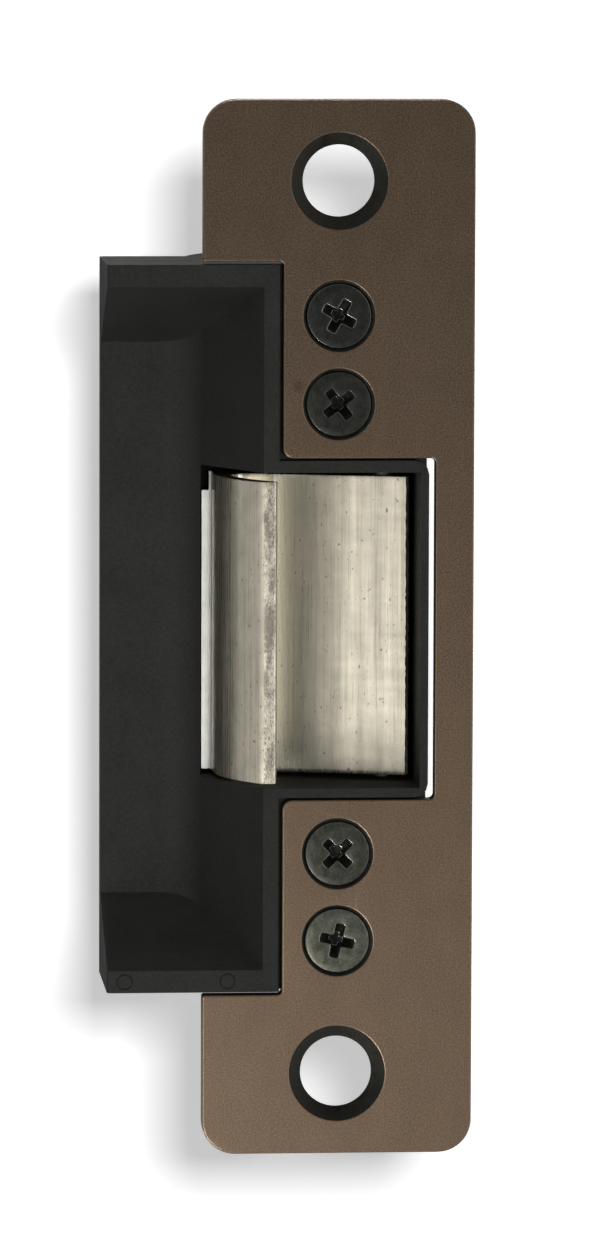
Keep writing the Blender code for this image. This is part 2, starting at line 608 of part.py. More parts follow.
def locking_lever():
    """Flat bell-crank, drawn in its locked attitude and turned back to rest about its own origin."""
    half = LEVER_THICKNESS / 2
    hub = arc((0, 0), LEVER_HUB, 0, 345, 23)
    nose = [(-8.3 * MM, 6.3 * MM), (-4.6 * MM, 6.3 * MM), (-8.3 * MM, 2.6 * MM)]
    shape = prism_mesh("locking_lever", hull_of(hub + nose), -half, half, "Y")
    lever = new_object("locking_lever", shape, steel, LEVER_PIVOT)
    link = Vector((LINK_ARM * math.cos(LEVER_SWING / 2), -LINK_ARM * math.sin(LEVER_SWING / 2)))
    arm = hull_of(arc((0, 0), LEVER_HUB - 0.4 * MM, 0, 345, 23) + arc(link, 1.8 * MM, 0, 345, 23))
    join(lever, prism_mesh("link_arm", arm, -half + SKIN, half - SKIN, "Y"))
    bore = rod_profile(LEVER_PIN_RADIUS + 0.1 * MM, -half - PAST, half + PAST)
    cut(lever, turned_mesh("pivot_bore", bore, "Y", 20))
    play = link.normalized() * GAP
    ends = [arc(link + side * play, LINK_PIN_RADIUS + 0.15 * MM, 0, 337.5, 15) for side in (1, -1)]
    cut(lever, prism_mesh("link_slot", hull_of(ends[0] + ends[1]), -half - PAST, half + PAST, "Y"))
    lever.rotation_euler = (0, -LEVER_SWING, 0)


def lever_pin():
    x, y, z = LEVER_PIVOT
    shank, rim = LEVER_PIN_RADIUS, 1.9 * MM
    head = y + LEVER_THICKNESS / 2 + GAP
    top = head + 0.8 * MM
    profile = [(0, LEVER_PIN_FRONT_Y), (shank, LEVER_PIN_FRONT_Y), (shank, head), (rim, head),
               (rim, top - 0.3 * MM), (rim - 0.3 * MM, top), (0, top)]
    new_object("lever_pin", turned_mesh("lever_pin", profile, "Y", 20), steel, (x, 0, z))


# ---------------------------------------------------------------- solenoid

def solenoid_screw_places():
    return SOLENOID_X - SOLENOID_SCREW_OFFSET, SOLENOID_X + SOLENOID_SCREW_OFFSET


def solenoid_frame():
    """C-shaped bracket: a plate against the case's front wall, and arms bored for core and plunger."""
    low, high = SOLENOID_Z
    front, reach, half = SOLENOID_PLATE_Y, 23.4 * MM, 6.1 * MM
    inner, arm_low, arm_high = front + FRAME_SHEET, low + FRAME_SHEET, high - FRAME_SHEET
    outline = [(front, low), (reach, low), (reach, arm_low), (inner, arm_low), (inner, arm_high),
               (reach, arm_high), (reach, high), (front, high)]
    bracket = prism_mesh("solenoid_frame", outline, -half, half, "X")
    frame = new_object("solenoid_frame", bracket, zinc, (SOLENOID_X, 0, 0))
    plunger_hole = rod_profile(PLUNGER_RADIUS + GAP, high - FRAME_SHEET - PAST, high + PAST)
    cut(frame, turned_mesh("plunger_hole", plunger_hole), (0, SOLENOID_Y, 0))
    core_hole = rod_profile(CORE_TAIL_RADIUS + GAP, low - PAST, low + FRAME_SHEET + PAST)
    cut(frame, turned_mesh("core_hole", core_hole), (0, SOLENOID_Y, 0))
    screw_hole = rod_profile(SOLENOID_SCREW_RADIUS + 0.25 * MM, front - PAST, front + FRAME_SHEET + PAST)
    for x in solenoid_screw_places():
        cut(frame, turned_mesh("screw_hole", screw_hole, "Y", 16), (x - SOLENOID_X, 0, SOLENOID_SCREW_Z))


def solenoid_screws():
    front, seat = SOLENOID_HEAD_Y
    head, shank = SOLENOID_HEAD_RADIUS, SOLENOID_SCREW_RADIUS
    edge = 0.2 * MM
    end = SOLENOID_PLATE_Y + FRAME_SHEET - 0.1 * MM
    profile = [(0, front), (head - edge, front), (head, front + edge), (head, seat), (shank, seat),
               (shank, end), (0, end)]
    for number, x in enumerate(solenoid_screw_places(), 1):
        shape = turned_mesh("solenoid_screw", profile, "Y", 20)
        screw = new_object(f"solenoid_screw_{number}", shape, zinc, (x, 0, SOLENOID_SCREW_Z))
        cut(screw, cross_recess_mesh(1.1 * MM, 0.3 * MM, 1.0 * MM), (0, front, 0))


def coil_parts():
    """The bobbin, its winding and the fixed core. Returns the height of the core's top."""
    place = (SOLENOID_X, SOLENOID_Y, 0)
    low = SOLENOID_Z[0] + FRAME_SHEET + GAP
    high = SOLENOID_Z[1] - FRAME_SHEET - GAP
    flange, tube, bore, rim = 0.8 * MM, 3.3 * MM, PLUNGER_RADIUS + 0.25 * MM, 5.75 * MM
    profile = [(bore, low), (rim, low), (rim, low + flange), (tube, low + flange), (tube, high - flange),
               (rim, high - flange), (rim, high), (bore, high)]
    new_object("solenoid_bobbin", turned_mesh("solenoid_bobbin", profile, "Z", 28), nylon, place)
    inner, outer = tube + 0.15 * MM, rim - 0.2 * MM
    first, last = low + flange + 0.2 * MM, high - flange - 0.2 * MM
    coil = [(inner, first), (outer, first), (outer, last), (inner, last)]
    new_object("solenoid_winding", turned_mesh("solenoid_winding", coil, "Z", 28), copper, place)
    tail, tail_end = CORE_TAIL_RADIUS, SOLENOID_Z[0] + 0.1 * MM
    head = low + 0.2 * MM
    core_top = head + CORE_HEIGHT
    seat = core_top - CORE_SEAT
    core = [(0, tail_end), (tail, tail_end), (tail, head), (PLUNGER_RADIUS, head), (PLUNGER_RADIUS, core_top),
            (SPRING_POCKET, core_top), (SPRING_POCKET, seat), (0, seat)]
    new_object("solenoid_core", turned_mesh("solenoid_core", core), steel, place)
    return core_top


def solenoid_plunger(core_top):
    """Iron rod with a fork at the top for the lever and a spring pocket at the bottom, with its link pin."""
    place = (SOLENOID_X, SOLENOID_Y, 0)
    low = core_top + PLUNGER_STROKE + GAP
    high = LINK_HEIGHT + 1.8 * MM
    edge = 0.4 * MM
    pocket_top = low + SPRING_POCKET_DEPTH
    profile = [(0, pocket_top), (SPRING_POCKET, pocket_top), (SPRING_POCKET, low), (PLUNGER_RADIUS, low),
               (PLUNGER_RADIUS, high - edge), (PLUNGER_RADIUS - edge, high), (0, high)]
    plunger = new_object("solenoid_plunger", turned_mesh("solenoid_plunger", profile), steel, place)
    half = LEVER_THICKNESS / 2 + 0.2 * MM
    fork = box_outline((-half, LEVER_PIVOT[2] - LEVER_HUB - 0.4 * MM), (half, high + PAST))
    cut(plunger, prism_mesh("fork", fork, -PLUNGER_RADIUS - PAST, PLUNGER_RADIUS + PAST, "X"))
    bore = rod_profile(LINK_PIN_RADIUS + 0.1 * MM, -PLUNGER_RADIUS - PAST, PLUNGER_RADIUS + PAST)
    cut(plunger, turned_mesh("link_bore", bore, "Y", 16), (0, 0, LINK_HEIGHT))
    reach = PLUNGER_RADIUS - 0.2 * MM
    pin = turned_mesh("link_pin", rod_profile(LINK_PIN_RADIUS, -reach, reach, 0.15 * MM), "Y", 16)
    new_object("link_pin", pin, steel, (SOLENOID_X, SOLENOID_Y, LINK_HEIGHT))


def plunger_spring(core_top):
    """Compression spring between the core's seat and the plunger's pocket."""
    wire = 0.22 * MM
    clear = wire + 0.1 * MM
    low = core_top - CORE_SEAT + clear
    high = core_top + PLUNGER_STROKE + GAP + SPRING_POCKET_DEPTH - clear
    path = coil_path(1.2 * MM, low, high, 7, 12)
    shape = tube_mesh("plunger_spring", path, wire, 6)
    new_object("plunger_spring", shape, spring_steel, (SOLENOID_X, SOLENOID_Y, 0))


# ---------------------------------------------------------------- back cover and leads

def back_cover():
    """Flat cover over the case's open back, with four countersunk screws."""
    left = swept_wall(SWEEP_RADIUS + END_WALL)[-1][0]
    outline = box_outline((left, -CASE_HALF_HEIGHT), (CASE_RIGHT_X, CASE_HALF_HEIGHT))
    front = DEPTH - COVER_THICKNESS
    sheet = prism_mesh("back_cover", rounded(outline, [1 * MM] * 4, 3), front, DEPTH, "Y")
    cover = new_object("back_cover", sheet, zinc)
    cone = (COVER_HEAD_RADIUS - COVER_SCREW_RADIUS) / math.tan(SINK_HALF_ANGLE)
    flare = PAST * math.tan(SINK_HALF_ANGLE)
    bore, sink = COVER_SCREW_RADIUS + 0.2 * MM, COVER_HEAD_RADIUS + 0.2 * MM
    hole = [(0, front - PAST), (bore, front - PAST), (bore, DEPTH - cone), (sink + flare, DEPTH + PAST),
            (0, DEPTH + PAST)]
    top = DEPTH - 0.05 * MM
    tip = COVER_SCREW_FRONT_Y
    shank = [(0, tip), (COVER_SCREW_RADIUS, tip), (COVER_SCREW_RADIUS, top - cone), (COVER_HEAD_RADIUS, top),
             (0, top)]
    for number, (x, z) in enumerate(COVER_SCREWS, 1):
        cut(cover, turned_mesh("cover_hole", hole, "Y", 20), (x, 0, z))
        shape = turned_mesh("cover_screw", shank, "Y", 20)
        screw = new_object(f"back_cover_screw_{number}", shape, zinc, (x, 0, z))
        recess = cross_recess_mesh(1.0 * MM, 0.28 * MM, 0.9 * MM)
        recess.transform(Matrix.Rotation(math.pi, 4, "Z"))
        cut(screw, recess, (0, top, 0))


def lead_grommet():
    bore, rim, lip = 1.75 * MM, 3.5 * MM, 1.0 * MM
    edge = 0.3 * MM
    outside, inside = -CASE_HALF_HEIGHT - 0.2 * MM, -CASE_HALF_HEIGHT + END_WALL + 0.2 * MM
    profile = [(bore, outside - lip), (rim - edge, outside - lip), (rim, outside), (GROMMET_NECK, outside),
               (GROMMET_NECK, inside), (rim, inside), (rim - edge, inside + lip), (bore, inside + lip)]
    new_object("lead_grommet", turned_mesh("lead_grommet", profile), rubber, (*GROMMET, 0))


def lead(name, side, finish):
    """One lead from the coil, out through the grommet and down behind the faceplate's ear to the plug."""
    x, y = GROMMET
    plug_x, plug_y = PLUG
    plug_top = PLUG_Z[1]
    offset = side * 0.75 * MM
    entry = plug_x + 1.4 * offset
    points = [
        (SOLENOID_X + 1.6 * offset, 26.4 * MM, -34.5 * MM),
        (x + 0.5 * offset, y + offset - 0.8 * MM, -38.5 * MM),
        (x, y + offset, -41.5 * MM),
        (x + 0.3 * MM, y + offset, -44.5 * MM),
        (entry - 1.2 * MM, plug_y + offset + 0.8 * MM, plug_top + 2.6 * MM),
        (entry, plug_y, plug_top + 0.8 * MM),
        (entry, plug_y, plug_top - 1.5 * MM),
    ]
    new_object(name, tube_mesh(name, smooth_path(points, 4), 0.6 * MM), finish)


def lead_plug():
    """Two-way plug: a socket for each lead, a contact window below each and a latch on the back."""
    bottom, top = PLUG_Z
    half_x, half_y = PLUG_HALF
    outline = rounded(box_outline((-half_x, -half_y), (half_x, half_y)), [0.5 * MM] * 4, 2)
    plug = new_object("lead_plug", prism_mesh("lead_plug", outline, bottom, top), nylon, (*PLUG, 0))
    socket = rod_profile(0.8 * MM, top - 2 * MM, top + PAST)
    window = box_outline((-0.8 * MM, -0.8 * MM), (0.8 * MM, 0.8 * MM))
    for side in (-1, 1):
        cut(plug, turned_mesh("lead_socket", socket, "Z", 12), (side * 1.05 * MM, 0, 0))
        contact = prism_mesh("contact_window", window, bottom - PAST, bottom + 5 * MM)
        cut(plug, contact, (side * 1.4 * MM, 0, 0))
    latch = box_outline((-1.1 * MM, half_y - 0.2 * MM), (1.1 * MM, half_y + 0.8 * MM))
    join(plug, prism_mesh("plug_latch", latch, bottom + 2 * MM, top - 2.5 * MM))


# ---------------------------------------------------------------- the assembly

clear_scene()
datum = bpy.data.objects.new("faceplate_datum", None)
bpy.context.scene.collection.objects.link(datum)
datum.location = (0, -DEPTH, 0)

bronze = material("bronze_finish", (0.105, 0.075, 0.05), 0.45, 0.8)
black = material("black_die_casting", (0.03, 0.03, 0.03), 0.6, 0.2)
stainless = material("stainless_sheet", (0.48, 0.45, 0.38), 0.35, 1.0)
black_zinc = material("black_zinc", (0.04, 0.045, 0.04), 0.4, 0.8)
steel = material("steel", (0.45, 0.45, 0.45), 0.35, 1.0)
spring_steel = material("spring_steel", (0.35, 0.35, 0.36), 0.3, 1.0)
zinc = material("zinc_plated_steel", (0.55, 0.56, 0.55), 0.4, 1.0)
copper = material("copper_winding", (0.5, 0.2, 0.08), 0.35, 1.0)
nylon = material("white_nylon", (0.75, 0.74, 0.7), 0.5)
rubber = material("black_rubber", (0.02, 0.02, 0.02), 0.8)
red = material("red_insulation", (0.5, 0.02, 0.02), 0.45)
black_wire = material("black_insulation", (0.02, 0.02, 0.02), 0.45)

faceplate()
faceplate_screws()
strike_body()
keeper()
keeper_pin()
keeper_spring()
locking_lever()
lever_pin()
solenoid_frame()
solenoid_screws()
core_height = coil_parts()
solenoid_plunger(core_height)
plunger_spring(core_height)
back_cover()
lead_grommet()
lead("lead_red", -1, red)
lead("lead_black", 1, black_wire)
lead_plug()
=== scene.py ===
"""Looks of the electric door strike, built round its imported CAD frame.

Lengths are in metres, in the frame's own axes: +X right, +Y into the jamb, +Z up.
"""

import json
import math
import random

import bmesh
import bpy
from mathutils import Matrix, Vector, noise


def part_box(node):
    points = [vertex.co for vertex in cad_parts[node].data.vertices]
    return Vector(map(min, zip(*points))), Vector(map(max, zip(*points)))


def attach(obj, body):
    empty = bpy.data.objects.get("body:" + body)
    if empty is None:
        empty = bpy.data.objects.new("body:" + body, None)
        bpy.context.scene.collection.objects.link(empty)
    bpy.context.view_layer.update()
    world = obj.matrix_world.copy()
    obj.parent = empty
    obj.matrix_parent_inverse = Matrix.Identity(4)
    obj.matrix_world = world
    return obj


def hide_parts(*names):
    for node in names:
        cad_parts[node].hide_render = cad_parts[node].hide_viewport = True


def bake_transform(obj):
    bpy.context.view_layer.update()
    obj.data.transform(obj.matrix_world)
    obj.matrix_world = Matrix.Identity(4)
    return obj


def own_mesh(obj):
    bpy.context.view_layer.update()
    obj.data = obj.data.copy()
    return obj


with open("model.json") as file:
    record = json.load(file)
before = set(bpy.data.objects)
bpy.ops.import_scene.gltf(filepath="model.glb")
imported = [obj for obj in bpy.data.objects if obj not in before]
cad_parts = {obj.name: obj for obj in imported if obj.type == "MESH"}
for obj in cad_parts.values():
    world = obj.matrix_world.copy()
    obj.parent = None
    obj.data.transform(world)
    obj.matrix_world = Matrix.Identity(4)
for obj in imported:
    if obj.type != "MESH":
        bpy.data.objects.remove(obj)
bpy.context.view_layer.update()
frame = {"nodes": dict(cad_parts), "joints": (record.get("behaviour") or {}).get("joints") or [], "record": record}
nodes = frame["nodes"]
MM = 0.001
PLATE_LOW, PLATE_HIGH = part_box("faceplate")
PLATE_FRONT = PLATE_LOW.y
PLATE_THICKNESS = PLATE_HIGH.y - PLATE_LOW.y
BODY_LOW, BODY_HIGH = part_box("strike_body")
KEEPER_LOW, KEEPER_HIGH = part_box("keeper")
SINK_HALF_ANGLE = math.radians(41)
hinge = {joint["name"]: joint for joint in frame["joints"]}
KEEPER_PIVOT = Vector(hinge["keeper_swing"]["pos_m"])
KEEPER_SHEET = 1.7 * MM


# ---------------------------------------------------------------- outlines

def arc(centre, radius, start, end, steps):
    """Points on a circle, from the start to the end angle in degrees."""
    angles = [math.radians(start + (end - start) * i / steps) for i in range(steps + 1)]
    return [Vector((centre[0] + radius * math.cos(a), centre[1] + radius * math.sin(a))) for a in angles]


def circle(x, z, radius, steps=64):
    return arc((x, z), radius, 0, 360 - 360 / steps, steps - 1)


def rounded(points, radii, steps=10):
    """The outline with corner i replaced by an arc of radii[i]."""
    result = []
    count = len(points)
    for i, radius in enumerate(radii):
        corner = Vector(points[i])
        if not radius:
            result.append(corner)
            continue
        before = (Vector(points[i - 1]) - corner).normalized()
        after = (Vector(points[(i + 1) % count]) - corner).normalized()
        half = before.angle(after) / 2
        centre = corner + (before + after).normalized() * radius / math.sin(half)
        first = corner + before * radius / math.tan(half) - centre
        last = corner + after * radius / math.tan(half) - centre
        turn = first.angle_signed(last)
        for step in range(steps + 1):
            spoke = first.copy()
            spoke.rotate(Matrix.Rotation(-turn * step / steps, 2))
            result.append(centre + spoke)
    return result


def inset(outline, distance):
    """The outline moved to its left by distance, corner by corner."""
    moved = []
    for i, point in enumerate(outline):
        before = (point - outline[i - 1]).normalized()
        after = (outline[(i + 1) % len(outline)] - point).normalized()
        left_before, left_after = Vector((-before.y, before.x)), Vector((-after.y, after.x))
        mitre = (left_before + left_after).normalized()
        moved.append(point + mitre * distance / max(0.5, mitre.dot(left_before)))
    return moved


def edge_round(size, steps=4):
    """Inset and depth pairs that round an edge off, from the face's rim to the side."""
    turns = [math.radians(90 * i / steps) for i in range(steps + 1)]
    return [(size * (1 - math.sin(turn)), size * (1 - math.cos(turn))) for turn in turns]


# ---------------------------------------------------------------- meshes

def new_mesh(bm, name, smooth=40):
    bmesh.ops.recalc_face_normals(bm, faces=bm.faces)
    made = bpy.data.meshes.new(name)
    bm.to_mesh(made)
    bm.free()
    made.shade_smooth()
    made.set_sharp_from_angle(angle=math.radians(smooth))
    return made


def piece(name, mesh_data, finishes, body, replaced=(), place=(0, 0, 0)):
    """A visible piece that rides on a CAD body and stands for the CAD nodes named."""
    obj = bpy.data.objects.new(name, mesh_data)
    bpy.context.scene.collection.objects.link(obj)
    obj.location = place
    slotted(mesh_data, len(finishes))
    for i, look in enumerate(finishes):
        mesh_data.materials[i] = look
    if body:
        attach(obj, body)
    if replaced:
        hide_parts(*replaced)
    return obj


def slotted(mesh_data, count):
    """Gives the mesh at least this many material slots, so that its faces keep their own."""
    while len(mesh_data.materials) < count:
        mesh_data.materials.append(None)
    return mesh_data


def bridge(bm, lower, upper):
    count = len(lower)
    for i in range(count):
        j = (i + 1) % count
        bm.faces.new((lower[i], lower[j], upper[j], upper[i]))


def ring_at(bm, outline, depth):
    return [bm.verts.new((point.x, depth, point.y)) for point in outline]


def fill(bm, loops):
    """Flat face across the loops: the first is the rim and the others are holes in it."""
    edges = []
    for loop in loops:
        for i, vert in enumerate(loop):
            edges.append(bm.edges.get((vert, loop[(i + 1) % len(loop)])))
    bmesh.ops.triangle_fill(bm, use_beauty=True, use_dissolve=False, edges=edges)


def plate_mesh(name, rim, holes, thickness, edge):
    """A plate with rounded edges. Each hole is a list of (radius, depth) rings from the front to the back."""
    bm = bmesh.new()
    profile = edge_round(edge)
    levels = profile + [(gap, thickness - depth) for gap, depth in reversed(profile)]
    rings = [ring_at(bm, inset(rim, gap), depth) for gap, depth in levels]
    front, back = [rings[0]], [rings[-1]]
    for lower, upper in zip(rings, rings[1:]):
        bridge(bm, lower, upper)
    for x, z, sections, steps in holes:
        rings = [ring_at(bm, circle(x, z, radius, steps), depth) for radius, depth in sections]
        for lower, upper in zip(rings, rings[1:]):
            bridge(bm, lower, upper)
        front.append(rings[0])
        back.append(rings[-1])
    fill(bm, front)
    fill(bm, back)
    return new_mesh(bm, name)


def turned_mesh(name, profile, steps=64, axis="Y"):
    """A profile of (radius, height) points spun about the axis, closed on itself or on the axis."""
    bm = bmesh.new()
    points = [bm.verts.new((radius, 0, height)) for radius, height in profile]
    edges = [bm.edges.new(pair) for pair in zip(points, points[1:])]
    if profile[0][0] > 0:
        edges.append(bm.edges.new((points[-1], points[0])))
    bmesh.ops.spin(bm, geom=points + edges, cent=(0, 0, 0), axis=(0, 0, 1), angle=math.tau, steps=steps)
    bmesh.ops.remove_doubles(bm, verts=bm.verts, dist=1e-7)
    if axis == "Y":
        bmesh.ops.rotate(bm, verts=bm.verts, matrix=Matrix.Rotation(-math.pi / 2, 3, "X"))
    return new_mesh(bm, name)


def tube_mesh(name, path, radius, sides=16):
    """A round wire along a path, with domed ends."""
    bm = bmesh.new()
    path = [Vector(point) for point in path]
    first = (path[0] - path[1]).normalized() * radius * 0.35
    last = (path[-1] - path[-2]).normalized() * radius * 0.35
    sizes = [radius * 0.8] + [radius] * len(path) + [radius * 0.8]
    path = [path[0] + first] + path + [path[-1] + last]
    rings = []
    side = None
    for i, point in enumerate(path):
        ahead = (path[min(i + 1, len(path) - 1)] - path[max(i - 1, 0)]).normalized()
        side = ahead.orthogonal().normalized() if side is None else side
        side = (side - ahead * side.dot(ahead)).normalized()
        other = ahead.cross(side)
        ring = []
        for k in range(sides):
            turn = math.tau * k / sides
            spoke = side * math.cos(turn) + other * math.sin(turn)
            ring.append(bm.verts.new(point + spoke * sizes[i]))
        rings.append(ring)
    for lower, upper in zip(rings, rings[1:]):
        bridge(bm, lower, upper)
    bm.faces.new(rings[0])
    bm.faces.new(rings[-1])
    return new_mesh(bm, name, 60)


def combined(base, helper, operation, turn=None):
    """The mesh of base with helper's mesh cut out or joined on."""
    objects = [bpy.data.objects.new("work", data) for data in (base, helper)]
    for obj in objects:
        bpy.context.scene.collection.objects.link(obj)
    if turn:
        objects[1].matrix_world = turn
    modifier = objects[0].modifiers.new("combine", "BOOLEAN")
    modifier.operation = operation
    modifier.object = objects[1]
    made = evaluated(objects[0])
    for obj in objects:
        bpy.data.objects.remove(obj)
    return made


def evaluated(obj):
    """A new mesh of the object with its modifiers applied."""
    bpy.context.view_layer.update()
    graph = bpy.context.evaluated_depsgraph_get()
    return bpy.data.meshes.new_from_object(obj.evaluated_get(graph), depsgraph=graph)


def cleaned(mesh_data, flat=1.0):
    """The mesh with its doubled points joined and its flat faces made whole."""
    bm = bmesh.new()
    bm.from_mesh(mesh_data)
    bmesh.ops.remove_doubles(bm, verts=bm.verts, dist=2e-6)
    bmesh.ops.dissolve_limit(bm, angle_limit=math.radians(flat), verts=bm.verts, edges=bm.edges)
    return new_mesh(bm, mesh_data.name)


def softened(mesh_data, width, segments=3, angle=32, edge_material=-1):
    """The mesh with its sharp edges rounded off, all by less where the shortest asks for it."""
    work = bpy.data.objects.new("work", mesh_data)
    bpy.context.scene.collection.objects.link(work)
    bevel = work.modifiers.new("round", "BEVEL")
    bevel.width = width
    bevel.segments = segments
    bevel.limit_method = "ANGLE"
    bevel.angle_limit = math.radians(angle)
    bevel.miter_outer = "MITER_ARC"
    bevel.use_clamp_overlap = True
    bevel.material = edge_material
    made = evaluated(work)
    bpy.data.objects.remove(work)
    made.shade_smooth()
    made.set_sharp_from_angle(angle=math.radians(40))
    return made


def evenly_shaded(mesh_data):
    """The mesh with the shading of its large flat faces kept flat."""
    work = bpy.data.objects.new("work", mesh_data)
    bpy.context.scene.collection.objects.link(work)
    even = work.modifiers.new("even", "WEIGHTED_NORMAL")
    even.weight = 100
    even.keep_sharp = True
    made = evaluated(work)
    bpy.data.objects.remove(work)
    return made


# ---------------------------------------------------------------- materials

def new_material(name):
    """A material, its node tree and its Principled shader."""
    made = bpy.data.materials.new(name)
    made.use_nodes = True
    return made, made.node_tree, made.node_tree.nodes["Principled BSDF"]


def add(tree, kind, **inputs):
    node = tree.nodes.new("ShaderNode" + kind)
    for key, value in inputs.items():
        wire_up(tree, node, key.replace("_", " "), value)
    return node


def wire_up(tree, node, socket, value):
    """Links an output to a socket, or gives the socket a plain value."""
    target = node.inputs[socket]
    if isinstance(value, bpy.types.NodeSocket):
        tree.links.new(value, target)
    else:
        target.default_value = value


def scaled_place(tree, scale):
    """The point on the piece, in metres, stretched by scale."""
    place = add(tree, "TexCoord").outputs["Object"]
    return add(tree, "Mapping", Vector=place, Scale=scale).outputs["Vector"]


def noise_at(tree, scale, detail=2.0, roughness=0.5):
    """Noise from 0 to 1. Scale is features per metre, along X, Y and Z."""
    spot = scaled_place(tree, scale)
    return add(tree, "TexNoise", Vector=spot, Scale=1.0, Detail=detail, Roughness=roughness).outputs["Fac"]


def ramp(tree, factor, low, high, first, last):
    """Maps factor from low..high to first..last."""
    node = add(tree, "MapRange", Value=factor)
    node.inputs["From Min"].default_value = low
    node.inputs["From Max"].default_value = high
    node.inputs["To Min"].default_value = first
    node.inputs["To Max"].default_value = last
    return node.outputs["Result"]


def maths(tree, operation, first, second):
    node = tree.nodes.new("ShaderNodeMath")
    node.operation = operation
    for socket, value in zip(node.inputs, (first, second)):
        if isinstance(value, bpy.types.NodeSocket):
            tree.links.new(value, socket)
        else:
            socket.default_value = value
    return node.outputs["Value"]


def mix_colours(tree, factor, first, second):
    node = tree.nodes.new("ShaderNodeMix")
    node.data_type = "RGBA"
    for socket, value in zip((node.inputs[0], node.inputs[6], node.inputs[7]), (factor, first, second)):
        if isinstance(value, bpy.types.NodeSocket):
            tree.links.new(value, socket)
        else:
            socket.default_value = value
    return node.outputs[2]


def shaded(colour, share):
    return (colour[0] * share, colour[1] * share, colour[2] * share, 1.0)


def bump(tree, height, strength, distance):
    return add(tree, "Bump", Height=height, Strength=strength, Distance=distance).outputs["Normal"]


def bronze():
    """Satin dark bronze: metal flake speckle over slow mottling, with painted shading that makes it a little darker
    towards the top and lighter towards the bottom, for brighter reflections from below.
    """
    made, tree, shader = new_material("bronze_finish")
    flake = noise_at(tree, (5200, 5200, 5200), 3.0, 0.7)
    mottle = noise_at(tree, (260, 260, 160), 4.0, 0.6)
    tone = maths(tree, "ADD", ramp(tree, flake, 0.3, 0.7, -0.45, 0.45), ramp(tree, mottle, 0.3, 0.7, -0.06, 0.06))
    # Painted shading: darker at the top of the plate and lighter at the bottom, standing in for brighter reflections
    # from below.
    height = add(tree, "SeparateXYZ", Vector=scaled_place(tree, (1, 1, 1))).outputs["Z"]
    tone = maths(tree, "ADD", tone, ramp(tree, height, 0.9 * PLATE_HIGH.z, 0.6 * PLATE_LOW.z, 0.19, 0.66))
    colour = mix_colours(tree, tone, shaded(BRONZE, 0.5), shaded(BRONZE, 1.5))
    apart = add(tree, "VectorMath", Vector=scaled_place(tree, (1, 0, 1)))
    apart.operation = "DISTANCE"
    apart.inputs[1].default_value = STAIN
    colour = mix_colours(tree, ramp(tree, apart.outputs["Value"], 0.35 * MM, 0.9 * MM, 0.45, 0.0), colour,
                         (0.05, 0.025, 0.02, 1.0))
    wire_up(tree, shader, "Base Color", colour)
    wire_up(tree, shader, "Roughness", ramp(tree, flake, 0.3, 0.7, 0.34, 0.50))
    wire_up(tree, shader, "Metallic", 0.75)
    wire_up(tree, shader, "Normal", bump(tree, flake, 0.25, 0.01 * MM))
    return made


def die_casting():
    """Matt black finish over cast zinc, with the fine grain of the casting."""
    made, tree, shader = new_material("black_die_casting")
    grain = noise_at(tree, (3600, 3600, 3600), 4.0, 0.65)
    patches = noise_at(tree, (150, 150, 150), 3.0)
    tone = maths(tree, "ADD", ramp(tree, grain, 0.3, 0.7, -0.25, 0.25), ramp(tree, patches, 0.3, 0.7, 0.35, 0.65))
    wire_up(tree, shader, "Base Color", mix_colours(tree, tone, shaded(CASTING, 0.55), shaded(CASTING, 1.45)))
    wire_up(tree, shader, "Roughness", ramp(tree, patches, 0.3, 0.7, 0.6, 0.72))
    wire_up(tree, shader, "Specular IOR Level", 0.08)
    wire_up(tree, shader, "Normal", bump(tree, grain, 0.35, 0.02 * MM))
    return made


